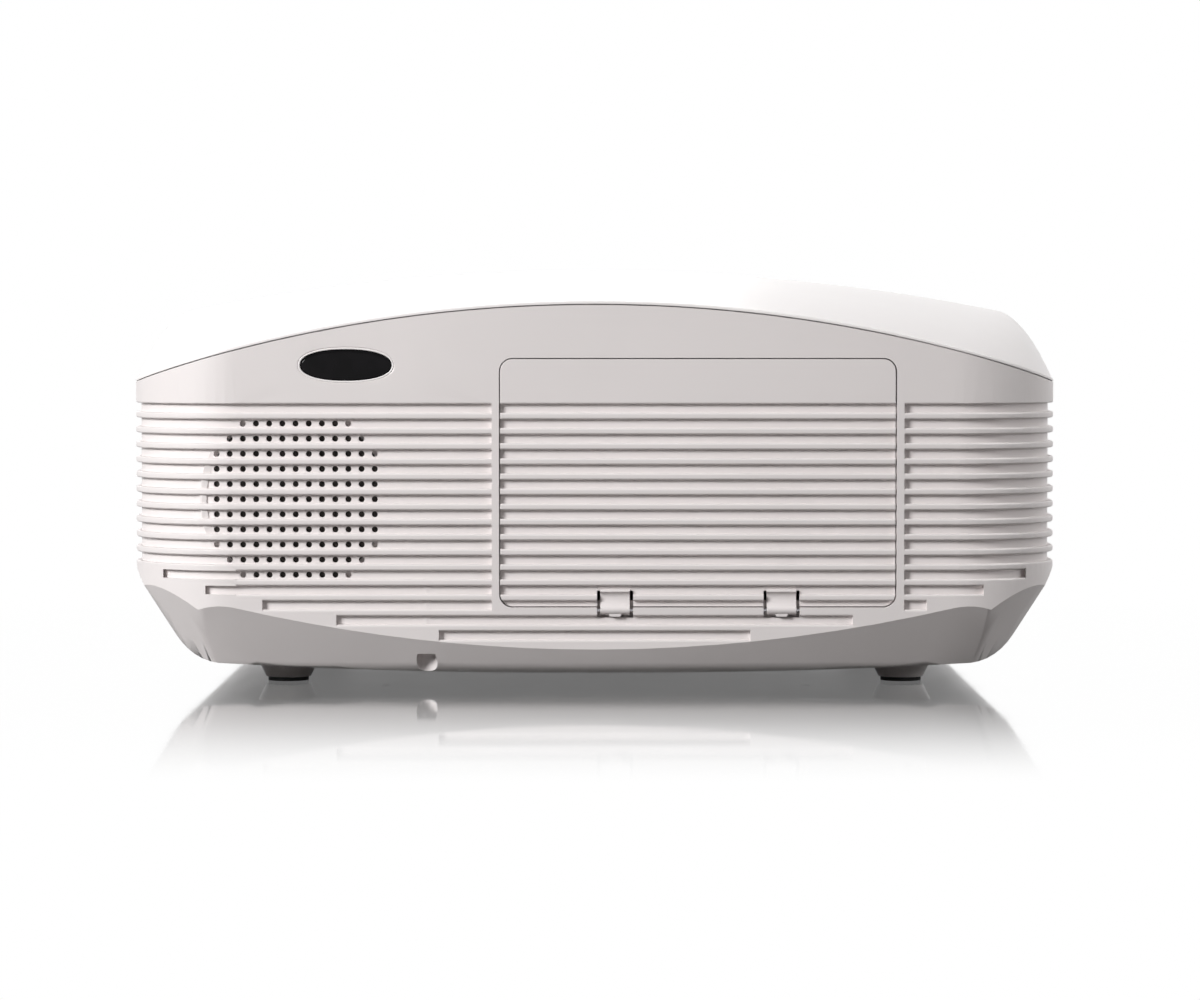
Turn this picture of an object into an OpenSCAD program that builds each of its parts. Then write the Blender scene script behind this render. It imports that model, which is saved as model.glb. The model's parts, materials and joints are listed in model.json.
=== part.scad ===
// Table-top projector with a built-in disc drive behind a drop-down door.
// Millimetres. +X is to the right seen from behind, +Y points to the lens, +Z is up.
// The origin lies on the table, under the middle of the body.

/* [Body] */
// Width of the body
body_w = 340; // [334:1:350]
// Depth of the body
body_d = 275; // [270:1:285]
// Corner radius of the body in plan
corner_r = 40; // [36:1:44]
// Thickness of the ribbed wall at its lands
wall = 4; // [3.7:0.1:4.4]
// Thickness of the hull under the walls
hull_wall = 2.6; // [2.2:0.1:3]
// Height of the parting line at the middle
parting_h = 138.7; // [137:0.1:141]
// Radius of the arc of the parting line
parting_r = 522; // [500:1:560]

/* [Hull] */
// Height of the underside at the middle
belly_h = 4.5; // [4.2:0.1:5]
// Radius of the underside's crown across the width
belly_r = 2860; // [2400:10:4000]
// Height of the ribbed wall's lower edge at the middle of the back
smile_h = 13.8; // [12.8:0.1:15]
// Height of the wall's lower edge along the sides
side_edge_h = 43; // [40:0.5:44]
// Plan radius of the back and front bevels
bow_r = 900; // [820:10:1000]
// Run of the bevel for each millimetre of rise
bevel_run = 0.62; // [0.58:0.01:0.66]
// Length that the rounding takes of the belly and of the bevel
belly_blend = 11; // [8:0.5:13]
// Height of the wall's lower edge round the corners
corner_edge_h = 35.5; // [33:0.5:37]

/* [Ribs] */
// Number of grooves
groove_count = 16; // [14:1:16]
// Upper edge of the top groove
groove_top = 102.8; // [101:0.1:104]
// Distance from groove to groove
groove_pitch = 5.49; // [5.4:0.01:5.6]
// Height of a groove
groove_h = 3.15; // [2.6:0.05:3.4]
// Depth of a groove
groove_d = 2; // [1.4:0.1:2.2]

/* [Cover] */
// Thickness of the cover's shell
cover_wall = 2.5; // [2.2:0.1:2.9]
// Rise of the crown above the cover's lip
crown_h = 12.3; // [11:0.1:14]
// Gap at the parting line
parting_gap = 0.4; // [0.3:0.05:0.6]
// Height of the cover's upright lip
lip_h = 1.2; // [1:0.1:1.6]
// How far the cover's shoulders lean in at each side
shoulder_run = 13; // [10:0.5:16]

/* [Disc door] */
// Left edge of the door
door_x = -34.2; // [-36:0.1:-33]
// Width of the door
door_w = 143.3; // [142:0.1:145]
// Height of the door's lower edge
door_z = 29.4; // [29.4:0.1:30]
// Height of the door
door_h = 89.7; // [88:0.1:90]
// Corner radius of the door
door_r = 4.5; // [3:0.1:6]
// Thickness of the door
door_t = 4.5; // [4.2:0.1:4.6]
// Gap around the door
door_gap = 0.4; // [0.35:0.05:0.6]
// Width of a hinge knuckle
knuckle_w = 10.7; // [9:0.1:12]
// Gap on each side of a hinge knuckle
knuckle_gap = 1.2; // [0.8:0.1:1.5]
// Radius of a hinge knuckle
knuckle_r = 1.6; // [1.5:0.05:1.8]
// Radius of a hinge pin
pin_r = 0.5; // [0.4:0.05:0.6]

/* [Disc drive] */
// Middle of the drive across the body
drive_x = 37.5; // [37:0.5:38]
// Width of the drive's chassis past the tray
chassis_w = 10; // [9:0.5:12]
// Length of the drive's chassis past the tray and the sled's motor
chassis_l = 11; // [9:0.5:16]
// Height of the chassis walls
chassis_h = 34; // [33.5:0.5:36]
// Underside of the chassis above the table
chassis_z = 70; // [69:0.5:71]
// Sheet thickness of the chassis
chassis_t = 2; // [1.6:0.1:2.2]
// Width of the disc tray
tray_w = 130; // [129:1:131]
// Length of the disc tray
tray_l = 157; // [156:1:158]
// Travel of the disc tray
tray_travel = 140; // [130:1:142]
// Diameter of the disc that the tray carries
disc_d = 120; // [118:1:122]
// Teeth of the loading gear
gear_teeth = 16; // [15:1:18]
// Module of the loading gear
gear_m = 1.5; // [1.4:0.05:1.55]

/* [Optics] */
// How far the lens stands to the right of the middle between fan and drive
lens_off = 3.1; // [2:0.1:4.5]
// Height of the lens axis
lens_z = 70; // [69:0.5:71]
// Outer diameter of the lens bezel
bezel_d = 86; // [84:1:88]
// Outer diameter of the focus ring
focus_d = 70; // [66:1:72]
// Outer diameter of the lens barrel
barrel_d = 58; // [54:1:60]
// Width of the optical tunnel
tunnel_w = 88; // [84:1:90]
// Height of the optical tunnel
tunnel_h = 66; // [62:1:70]
// Length of the optical tunnel
tunnel_l = 112; // [108:1:114]
// Travel of the lens barrel
focus_travel = 6; // [4:0.5:6]

/* [Cooling and sound] */
// Side of the square fan
fan_side = 66; // [62:1:67]
// Thickness of the fan
fan_t = 20; // [15:1:22]
// Blades of the fan
fan_blades = 7; // [5:1:9]
// Distance of the speaker's middle from the left side
speaker_off = 61.6; // [61:0.1:63]
// Height of the speaker's middle
speaker_z = 68.6; // [68:0.1:69]
// Outer diameter of the speaker
speaker_d = 66; // [64:1:68]
// Diameter of a grille hole
grille_hole_d = 2.2; // [1.8:0.1:2.4]
// Sideways distance between grille holes
grille_pitch = 4.78; // [4.7:0.01:4.85]

/* [Keypad, sockets and feet] */
// Diameter of a keypad button
button_d = 9; // [8:0.5:10]
// Distance between keypad buttons
button_pitch = 14; // [13:0.5:14]
// Travel of a keypad button
button_travel = 0.8; // [0.5:0.1:0.9]
// Distance of the feet from the left and right sides
foot_x = 56.5; // [54:0.5:62]
// Distance of the feet from the back and front
foot_y = 35; // [33.5:0.5:39.5]
// Diameter of a rubber foot pad
pad_d = 15; // [14:0.5:16]
// Thickness of a rubber foot pad
pad_t = 1.5; // [1:0.1:2]
// Sideways distance between the bracket's screw holes
bracket_x = 160; // [150:1:170]
// Lengthways distance between the bracket's screw holes
bracket_y = 120; // [110:1:130]
// Length of the socket panel
port_l = 118; // [114:1:120]
// Height of the socket panel
port_h = 26; // [25:0.5:28]

/* [Hidden] */
$fn = 48;
eps = 0.01;
seat_gap = 0.3;          // gap between a piece and what it seats on
run_gap = 0.05;          // radial clearance of a running fit
move_gap = 0.4;          // gap beside a moving piece
half_w = body_w / 2;
half_d = body_d / 2;
inner_x = half_w - wall; // inner face of the side walls
inner_y = half_d - wall; // inner face of the back and front walls
feet_x = half_w - foot_x;
feet_y = half_d - foot_y;
lean = sqrt(1 + bevel_run * bevel_run);
edge_inset = (smile_h - belly_h) * bevel_run; // bevel's inset at the middle of the back
// the hull's corners are cones that stand inside the corner by these distances
corner_in_x = 110;
corner_in_y = 87.5;
corner_reach = norm([corner_in_x, corner_in_y] - corner_r * (1 - sqrt(0.5)) * [1, 1]);
function corner_cone_r(z) = corner_reach - (corner_edge_h - z) * bevel_run;

// groove ends on the back and front, counted from the first groove under the sides' edge
groove_ends = [157.5, 141.3, 120.5, 93.7, 56.5];
full_grooves = 11;
function groove_z(n) = groove_top - n * groove_pitch - groove_h; // lower edge of groove n

// door and hinge
door_mid_x = door_x + door_w / 2;
band = 2.9;              // smooth frame beside the door
axis_in = 0.9;           // hinge axis behind the back face
axis_y = -half_d + axis_in;
axis_z = door_z - axis_in - move_gap;
hinge_proud = knuckle_r - axis_in;
knuckle_x = [door_x + 36.3, door_x + 96.7];
pin_seat = 2.4;          // length of a hinge pin in the housing at each end
door_in_y = -half_d + door_t;
ledge_in = 2;
ledge_t = 2.5;

// drive
chassis_wide = tray_w + chassis_w;
tray_front_y = -half_d + door_t + 14.5;
front_panel_t = 2.5;
front_panel_h = 12;
fascia_t = 2;
fascia_y = tray_front_y + front_panel_t + move_gap;
chassis_y = fascia_y + fascia_t + seat_gap;
disc_back = 68;          // disc's middle behind the tray's front
disc_y = tray_front_y + disc_back;
rail_z = chassis_z + 18; // underside of the tray's rails
rail_h = 3.6;
tray_z = rail_z + rail_h + seat_gap;
tray_t = 2;
tray_h = 5;
guide_z = tray_z + tray_h + seat_gap;
front_panel_z = tray_z - 2;
rail_in = 6;
gear_pitch_r = gear_teeth * gear_m / 2;
rack_pitch = PI * gear_m;
backlash = 0.2;
rack_x = drive_x + tray_w / 2 - 12; // pitch line of the rack
gear_x = rack_x - gear_pitch_r;
gear_y = chassis_y + 20;
gear_h = 4;
rack_h = 4;
gear_z = tray_z - rack_h;
deck_z = chassis_z + chassis_t;
pulley_z = deck_z + 2.2;
motor_px = gear_x - 34;
belt_t = 1.2;
big_pulley_r = 9;
small_pulley_r = 3;
spindle_r = 13;
turntable_z = tray_z + 1.2;
motor_plate = 30;        // side of the spindle motor's foot plate along Y
holder_t = 2;            // thickness of the rail holders
rail_y0 = disc_y + motor_plate / 2 + holder_t + move_gap;
sled_l = 24;
sled_travel = 32;
sled_y = rail_y0 + sled_l / 2 + move_gap;
rail_y1 = sled_y + sled_travel + sled_l / 2 + holder_t + move_gap;
sled_z = deck_z + 4;
rail_off = 19;
screw_x = drive_x + rail_off - 8;
sled_motor_l = 16;
tray_back = tray_front_y + front_panel_t + tray_l;
chassis_len = max(tray_back, rail_y1 + sled_motor_l) + chassis_l - chassis_y;
top_plate_z = chassis_z + chassis_h;
slot_r = spindle_r + 5;  // half width of the tray's slot round the spindle
clamp_neck_r = 10;
clamp_hole_r = 12.3;     // hole in the top plate that the clamp floats in

// housing screws
well_x = half_w - 21;
well_y = half_d - 40.5;
post_r = 4.2;

// optics
fan_x = -inner_x + seat_gap;
lens_x = (fan_x + fan_t + drive_x - chassis_wide / 2) / 2 + lens_off;
bezel_in = half_d - 9;
mount_y = half_d - 58;
mount_t = 3;
mount_tube = 32;         // length of the tube that guides the barrel
tunnel_y = mount_y - seat_gap - tunnel_l;
tunnel_t = 2;
barrel_back = mount_y + 6;
barrel_l = 42;
led_y = tunnel_y - 8;
sink_l = 30;
sink_y = led_y - seat_gap - sink_l;
sink_w = 72;
sink_h = 52;
sink_base = 5;           // thickness of the heatsink's base
sink_z = lens_z - sink_h / 2;
fin_count = 12;
fin_t = 1.6;

// fan, speaker
// beside the heatsink, and in front of the screw post in the corner
fan_y = max(sink_y - 4, post_r + 1.6 + move_gap - well_y) + fan_side / 2;
fan_z = side_edge_h + 0.5 + fan_side / 2;
rotor_r = fan_side / 2 - 4;
speaker_x = -half_w + speaker_off;
speaker_seat = 1.8;      // height of the ring that the speaker stands on
speaker_y = -inner_y + speaker_seat + seat_gap;
speaker_h = 24;

// receiver window
window_x = -half_w + 80;
window_z = parting_z(window_x) - 13.98;
window_w = 34;
window_h = 12.1;
window_power = 2.25;     // how square the oval window is, where 2 is an ellipse

// keypad
key_y = 62;
key_top = parting_z(50) + parting_gap + lip_h + crown(50) * rise(1 - key_y / half_d) - 0.8;
key_w = 102;
key_d = 24;
key_t = 4.1;
key_flange = 4;
key_flange_t = 2;
KEYS = ["power_button", "source_button", "menu_button", "ok_button",
        "play_button", "stop_button", "eject_button"];

// sockets
inlet_y = half_d - 71.5;
inlet_w = 27.4;
inlet_h = 20;
switch_y = half_d - 45.5;
switch_w = 13.2;
switch_h = 19.4;
power_y0 = inlet_y - inlet_w / 2 - 2.4;
power_y1 = switch_y + switch_w / 2 + 3.4;
port_y = power_y0 - 6.9 - port_l / 2;
port_z = 61;
port_t = 2.5;
board_z = 46;
board_t = 1.6;
// each socket: place along the panel, width, height, height of its middle above the panel's middle
SOCKETS = [[-47, 16, 7, -3.5], [-25, 16, 7, -3.5], [-5, 13.5, 6.5, -3.5],
           [15, 25, 3.4, -5], [36, 8, 8, -3], [50, 8, 8, -3]];
port_face = half_w - groove_d;
switch_x = port_face - 1.4;
switch_pin_r = 1.2;

// fasteners
bracket_r = 2;
bracket_depth = 14;
well_r = 3.8;
well_top = 27;
post_top = parting_z(well_x) - 0.98;
// the cover's posts end in its shell, this share of the way in from the edge
post_share = 1 - well_y / half_d - 0.08;
cover_post_top = parting_z(well_x) + parting_gap + lip_h + crown(well_x) * rise(post_share) - cover_wall;
rear_well = [-61, -half_d + 5.2];
drive_post_r = 3.5;
DRIVE_POSTS = [for (sx = [-1, 1], y = [chassis_y + 8, chassis_y + chassis_len - 8])
    [drive_x + sx * (chassis_wide / 2 - 6), y]];
SCREWS = [[-well_x, -well_y], [well_x, -well_y], [-well_x, well_y], [well_x, well_y]];

// ---- outline functions ----

// height of the parting line at x
function parting_z(x) = parting_h - parting_r + sqrt(parting_r * parting_r - x * x);
// rise of the cover above its lip at x, where the crown line passes
function crown(x) = crown_h + 0.00036 * x * x;
// share of that rise at a share t of the way in from the edge
function rise(t) = 1 - (1 - t) * (1 - t);
// a blend from a to b that leaves a and reaches b along the lines to c
function blend(a, c, b, steps) =
    [for (i = [0 : steps]) let (u = i / steps) (1-u)*(1-u)*a + 2*u*(1-u)*c + u*u*b];
// height of the belly at x, raised by t
function belly(x, t) = belly_h + x * x / (2 * belly_r) + t;

// right half of the cross-section from the middle of the belly up, drawn in by t
function half_section(t) =
    let (cz = belly(half_w - (side_edge_h - belly_h) * bevel_run, t),
         cx = half_w - (side_edge_h - cz) * bevel_run - t * lean,
         ax = cx - belly_blend,
         b = [cx + belly_blend * bevel_run / lean, cz + belly_blend / lean],
         top = parting_h + 20)
    concat([for (i = [0 : 6]) let (x = ax * i / 7) [x, belly(x, t)]],
           blend([ax, belly(ax, t)], [cx, cz], b, 6),
           [[cx + (top - cz) * bevel_run, top]]);

// profile of the bevel at back and front, turned about the far axis of the bow, drawn in by t
function bow_section(t) =
    let (z = belly_h + t,
         r = bow_r + t * bevel_run - t * lean,
         blend_l = 5,
         top = parting_h + 20)
    concat([[0, z]],
           blend([r - blend_l, z], [r, z], [r + blend_l * bevel_run / lean, z + blend_l / lean], 5),
           [[r + (top - z) * bevel_run, top], [0, top]]);

// ---- shared shapes ----

module rounded(w, h, r) {
    square([w - 2 * r, h], center = true);
    square([w, h - 2 * r], center = true);
    for (sx = [-1, 1], sy = [-1, 1])
        translate([sx * (w / 2 - r), sy * (h / 2 - r)]) circle(r);
}
module plan(t) { rounded(body_w - 2 * t, body_d - 2 * t, corner_r - t, $fn = 96); }

// the body's closed form under the cover, walls drawn in by t and hull by u
module body_form(t, u) {
    side = half_section(u);
    mirrored = [for (i = [len(side) - 1 : -1 : 1]) [-side[i][0], side[i][1]]];
    intersection() {
        linear_extrude(parting_h + 10) plan(t);
        rotate([90, 0, 0]) linear_extrude(body_d + 20, center = true) polygon(concat(side, mirrored));
        for_both_ends() translate([0, bow_r + edge_inset - half_d, 0])
            rotate_extrude($fn = 720) polygon(bow_section(u));
        corner_cone(-1, -1, u);
        corner_cone(1, -1, u);
        corner_cone(-1, 1, u);
        corner_cone(1, 1, u);
    }
}
module corner_cone(sx, sy, u) {
    union() {
        translate([sx * (half_w - corner_in_x), sy * (half_d - corner_in_y), 0])
            cylinder(r1 = corner_cone_r(0) - u * lean, r2 = corner_cone_r(parting_h + 10) - u * lean,
                h = parting_h + 10, $fn = 360);
        // the cone only trims its own corner
        box(sx > 0 ? -body_w : 0, sx > 0 ? 0 : body_w, -body_d, body_d, 0, parting_h + 10);
        box(-body_w, body_w, sy > 0 ? -body_d : 0, sy > 0 ? 0 : body_d, 0, parting_h + 10);
    }
}
module for_both_ends() {
    intersection() { children(); mirror([0, 1, 0]) children(); }
}
// a flat piece upright across the depth, from y0 to y1, drawn as x and z
module upright(y0, y1) { translate([0, y1, 0]) rotate([90, 0, 0]) linear_extrude(y1 - y0) children(); }
// a flat piece upright across the width, from x0 to x1, drawn as y and z
module sideways(x0, x1) { translate([x0, 0, 0]) rotate([90, 0, 90]) linear_extrude(x1 - x0) children(); }
module box(x0, x1, y0, y1, z0, z1) { translate([x0, y0, z0]) cube([x1 - x0, y1 - y0, z1 - z0]); }
// a cylinder along Y from y0 to y1
module rod_y(r, y0, y1) { translate([0, y1, 0]) rotate([90, 0, 0]) cylinder(r = r, h = y1 - y0); }
// a cylinder along X from x0 to x1
module rod_x(r, x0, x1) { translate([x0, 0, 0]) rotate([0, 90, 0]) cylinder(r = r, h = x1 - x0); }
module tube_z(r, bore, z0, z1) {
    translate([0, 0, z0]) difference() {
        cylinder(r = r, h = z1 - z0);
        translate([0, 0, -1]) cylinder(r = bore, h = z1 - z0 + 2);
    }
}

// ---- housing ----

module groove_ring(n) {
    translate([0, 0, groove_z(n)]) linear_extrude(groove_h) difference() {
        square([body_w + 20, body_d + 20], center = true);
        plan(groove_d);
    }
}
module grooves() {
    for (n = [0 : min(full_grooves, groove_count) - 1]) groove_ring(n);
    for (n = [full_grooves : groove_count - 1]) {
        reach = groove_ends[n - full_grooves];
        intersection() {
            groove_ring(n);
            for_ends(half_d - corner_r / 2 - 3) box(-reach, reach, 0, 40, 0, body_d);
        }
    }
}
// the same shape at the back and at the front, from a distance off the middle outwards
module for_ends(y) {
    translate([0, y, 0]) children();
    mirror([0, 1, 0]) translate([0, y, 0]) children();
}
module door_frame_2d(grow) {
    translate([door_mid_x, door_z + door_h / 2]) rounded(door_w + 2 * grow, door_h + 2 * grow, door_r + grow);
}
module grille_holes() {
    for (row = [1 : 11]) {
        count = row == 1 || row == 11 ? 9 : row == 2 || row == 10 ? 11 : 13;
        for (i = [0 : count - 1])
            translate([speaker_x + (i - (count - 1) / 2) * grille_pitch, 0, groove_z(row) + groove_h / 2])
                rod_y(grille_hole_d / 2, -half_d - 1, -inner_y + 1, $fn = 16);
    }
}
module vents(y0, count) {
    for (n = [2 : 9], i = [0 : count - 1])
        box(-half_w - 1, -inner_x + 1, y0 + i * 17, y0 + i * 17 + 13.5, groove_z(n) + 0.6, groove_z(n) + groove_h - 0.6);
}
module knuckle_slots() {
    for (x = knuckle_x) {
        box(x - knuckle_gap, x + knuckle_w + knuckle_gap, -half_d - 1, -inner_y + 1,
            axis_z - knuckle_r - 1.1, door_z);
    }
}
module lower_housing() {
    color("gainsboro") difference() {
        union() {
            difference() {
                body_form(0, 0);
                body_form(wall, hull_wall);
                difference() {
                    grooves();
                    upright(-half_d - 20, -half_d + 20) translate([door_mid_x, door_z - band + 60])
                        square([door_w + 2 * (band + 0.2), 120], center = true);
                    upright(half_d - 20, half_d + 20) translate([lens_x, lens_z]) circle(bezel_d / 2 + 1.5);
                }
            }
            // frame that the door closes against
            intersection() {
                upright(-inner_y - 1, door_in_y + seat_gap + ledge_t) door_frame_2d(4);
                body_form(1, 1);
            }
            feet_cones();
            intersection() {
                union() {
                    inner_posts();
                    screw_posts();
                    translate([speaker_x, 0, speaker_z]) difference() {
                        rod_y(speaker_d / 2 + 2, -inner_y - 1, -inner_y + speaker_seat);
                        rod_y(speaker_d / 2 - 0.6, -half_d, 0);
                    }
                }
                body_form(1, 1);
            }
        }
        // top edge along the parting arc
        difference() {
            translate([0, 0, 60]) linear_extrude(parting_h) square([body_w + 40, body_d + 40], center = true);
            translate([0, 0, parting_h - parting_r]) rotate([90, 0, 0])
                cylinder(r = parting_r, h = body_d + 60, center = true, $fn = 720);
        }
        upright(-half_d - 1, door_in_y + seat_gap) door_frame_2d(door_gap);
        upright(-half_d - 1, door_in_y + 10) door_frame_2d(-ledge_in);
        knuckle_slots();
        for (x = knuckle_x) translate([0, axis_y, axis_z]) 
            rod_x(pin_r, x - knuckle_gap - pin_seat - 0.1, x + knuckle_w + knuckle_gap + pin_seat + 0.1);
        grille_holes();
        vents(fan_y - fan_side / 2, 4);
        vents(half_d - 107.5, 4);
        upright(-half_d - 1, -inner_y + 1) oval_2d(window_w + 2 * seat_gap, window_h + 2 * seat_gap);
        sideways(inner_x - 1, half_w + 1) translate([port_y, port_z]) square([port_l + 0.6, port_h + 0.6], center = true);
        box(inner_x - 1, half_w + 1, power_y0 - seat_gap, power_y1 + seat_gap,
            port_z - port_h / 2 - seat_gap, port_z + port_h / 2 + seat_gap);
        translate([lens_x, 0, lens_z]) rod_y(bezel_d / 2 - 3 + seat_gap, inner_y - 1, half_d + 1);
        screw_wells();
        for (sx = [-1, 1], sy = [-1, 1]) translate([sx * bracket_x / 2, sy * bracket_y / 2, -1])
            cylinder(r = bracket_r, h = bracket_depth + 1);
        for (sx = [-1, 1]) translate([sx * feet_x, feet_y, -1]) cylinder(r = 4 + run_gap, h = 16);
    }
}
module feet_cones() {
    for (sx = [-1, 1]) translate([sx * feet_x, -feet_y, pad_t])
        cylinder(r1 = pad_d / 2 + 0.8, r2 = pad_d / 2 + 4.2, h = 7);
}
// posts that carry the drive, tunnel, boards and sinks
module inner_posts() {
    for (p = DRIVE_POSTS) post(p[0], p[1], chassis_z - seat_gap, drive_post_r);
    for (sx = [-1, 1], y = [tunnel_y + 8, tunnel_y + tunnel_l - 8])
        post(lens_x + sx * (tunnel_w / 2 - 8), y, lens_z - tunnel_h / 2 - seat_gap, 4);
    for (x = [board_x0 + 8, board_x1 - 8], y = [board_y0 + 8, board_y1 - 8]) post(x, y, board_z - seat_gap, 3);
    for (x = [psu_x0 + 8, psu_x1 - 8], y = [psu_y0 + 6, psu_y1 - 6]) post(x, y, psu_z - seat_gap, 3);
    for (sx = [-1, 1]) {
        post(lens_x + sx * 20, sink_y + 8, sink_z - seat_gap, 4);
        post(lens_x + sx * 30, mount_y + 1.5, lens_z - 40 - seat_gap, 4);
        translate([sx * feet_x, feet_y, 0]) cylinder(r = 7.5, h = 20);
    }
    for (sx = [-1, 1], sy = [-1, 1]) post(sx * bracket_x / 2, sy * bracket_y / 2, bracket_depth + 3, 4.6);
    post(fan_x + fan_t / 2, fan_y - 20, fan_z - fan_side / 2 - seat_gap, 4);
    post(fan_x + fan_t / 2, fan_y + 20, fan_z - fan_side / 2 - seat_gap, 4);
}
module post(x, y, top, r) { translate([x, y, 0]) cylinder(r = r, h = top); }
module screw_posts() {
    for (p = SCREWS) translate([p[0], p[1], 0]) cylinder(r = post_r + 1.6, h = post_top);
    translate([rear_well[0], rear_well[1] + 2, 0]) cylinder(r = post_r + 1.2, h = 40);
}
module screw_wells() {
    for (p = SCREWS) {
        translate([p[0], p[1], -1]) cylinder(r = well_r, h = well_top + 1);
        translate([p[0], p[1], -1]) cylinder(r = 1.7, h = post_top + 3);
    }
    translate([rear_well[0], rear_well[1], -1]) cylinder(r = well_r, h = 13);
}

// one ring of the cover: half sizes a and b, corner radius r, and the bow of its short sides
half_steps = [4, 8, 16];
function side_point(a, b, r, bow, j) =
    let (u = j / half_steps[0]) [a + bow * (1 - u * u), -(b - r) * u];
function half_ring(a, b, r, bow) =
    concat([for (j = [0 : half_steps[0]]) let (p = side_point(a, b, r, bow, j)) [-p[0], p[1]]],
           [for (j = [1 : half_steps[1]]) let (w = 180 + 90 * j / half_steps[1])
               [-(a - r) + r * cos(w), -(b - r) + r * sin(w)]],
           [for (j = [1 : half_steps[2]]) [(a - r) * (2 * j / half_steps[2] - 1), -b]],
           [for (j = [1 : half_steps[1]]) let (w = 270 + 90 * j / half_steps[1])
               [(a - r) + r * cos(w), -(b - r) + r * sin(w)]],
           [for (j = [half_steps[0] - 1 : -1 : 0]) side_point(a, b, r, bow, j)]);
function full_ring(h) = concat(h, [for (i = [len(h) - 2 : -1 : 1]) [h[i][0], -h[i][1]]]);
function lifted(ring, z, g) = [for (p = ring) [p[0], p[1], parting_z(p[0]) + z + crown(p[0]) * g]];
ridge_half = 0.8;
// ring of the shell at share t of the way to the ridge, drawn in by s and lowered by s
function shell_ring(t, s, e) =
    let (a = half_w - e - s - (shoulder_run - e) * t,
         b = (half_d - e - s) * (1 - t) + ridge_half,
         r = (corner_r - e - s) * (1 - t) + ridge_half / 2)
    lifted(full_ring(half_ring(a, b, r, ridge_half * t)), parting_gap + lip_h - s, rise(t));
function lip_ring(s, z) =
    lifted(full_ring(half_ring(half_w - s, half_d - s, corner_r - s, 0)), z, 0);

outer_steps = [0, 0.03, 0.07, 0.12, 0.18, 0.25, 0.33, 0.42, 0.52, 0.63, 0.75, 0.87, 1];
inner_steps = [1, 0.8, 0.6, 0.42, 0.27, 0.14, 0.04];
cover_edge = 0.7;

module cover_shell() {
    rings = concat([lip_ring(0, parting_gap), lip_ring(0, parting_gap + lip_h - 0.5)],
                   [for (t = outer_steps) shell_ring(t, 0, cover_edge)],
                   [for (t = inner_steps) shell_ring(t, cover_wall, 0)],
                   [lip_ring(cover_wall, parting_gap)]);
    n = len(rings[0]);
    last_outer = 1 + len(outer_steps);
    total = len(rings);
    side = [for (k = [0 : total - 1], i = [0 : n - 1]) if (k != last_outer)
        let (k2 = (k + 1) % total, i2 = (i + 1) % n)
        each [[k*n + i, k2*n + i, k2*n + i2], [k*n + i, k2*n + i2, k*n + i2]]];
    function cap(k, flip) = [for (i = [0 : n / 2 - 1])
        let (a = k*n + i, b = k*n + i + 1, c = k*n + (n - i - 1) % n, d = k*n + (n - i) % n)
        each [for (f = [[a, b, c], [a, c, d]]) if (f[0] != f[1] && f[1] != f[2] && f[0] != f[2])
            flip ? [f[2], f[1], f[0]] : f]];
    points = [for (r = rings) each r];
    polyhedron(points, concat(side, cap(last_outer, true), cap(last_outer + 1, false)));
}
module top_cover() {
    color("white") difference() {
        union() {
            cover_shell();
            for (p = SCREWS) translate([p[0], p[1], post_top + seat_gap])
                cylinder(r = post_r, h = cover_post_top - post_top - seat_gap);
        }
        box(-key_w / 2 - 0.4, key_w / 2 + 0.4, key_y - key_d / 2 - 0.4, key_y + key_d / 2 + 0.4, key_top - 8, key_top + 20);
        for (p = SCREWS) translate([p[0], p[1], post_top]) cylinder(r = 1.3, h = 6);
    }
}
module housing_screws() {
    color("dimgray") for (p = SCREWS) translate([p[0], p[1], well_top + seat_gap - 2.6]) {
        difference() {
            cylinder(r = 3, h = 2.3);
            translate([0, 0, -1]) cylinder(r = 1.4, h = 2.2, $fn = 6);
        }
        translate([0, 0, 2.2]) cylinder(r = 1.3, h = post_top + 5.5 - well_top);
    }
}

// ---- feet ----

module rear_foot_pads() {
    color("#222222") for (sx = [-1, 1]) translate([sx * feet_x, -feet_y, 0]) cylinder(r = pad_d / 2, h = pad_t);
}
module front_foot(sx) {
    color("#303030") translate([sx * feet_x, feet_y, pad_t]) {
        difference() {
            cylinder(r = 10.5, h = 3.2);
            for (i = [0 : 11]) rotate(i * 30) translate([11.2, 0, -1]) cylinder(r = 1.4, h = 6, $fn = 24);
        }
        cylinder(r = 4, h = 11 - pad_t);
    }
}
module front_pad(sx) { color("#222222") translate([sx * feet_x, feet_y, 0]) cylinder(r = pad_d / 2, h = pad_t); }

// ---- disc door ----

module disc_door() {
    color("gainsboro") difference() {
        union() {
            upright(-half_d, door_in_y) door_frame_2d(0);
            for (x = knuckle_x) translate([0, axis_y, axis_z]) rod_x(knuckle_r, x, x + knuckle_w);
            for (x = knuckle_x) box(x, x + knuckle_w, axis_y, axis_y + knuckle_r, axis_z, door_z + 1);
        }
        for (n = [0 : 13]) box(door_x - 1, door_x + door_w + 1, -half_d - 1, -half_d + groove_d,
            groove_z(n), groove_z(n) + groove_h);
        for (x = knuckle_x) {
            // hollow over the knuckle
            translate([0, -half_d - 0.6, axis_z + knuckle_r + 2.6]) rod_x(2.6, x, x + knuckle_w);
            translate([0, axis_y, axis_z]) rod_x(pin_r + run_gap, x - 1, x + knuckle_w + 1);
        }
    }
}
module door_hinge_pins() {
    color("silver") for (x = knuckle_x) translate([0, axis_y, axis_z])
        rod_x(pin_r, x - knuckle_gap - pin_seat, x + knuckle_w + knuckle_gap + pin_seat);
}

// ---- receiver window ----

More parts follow.
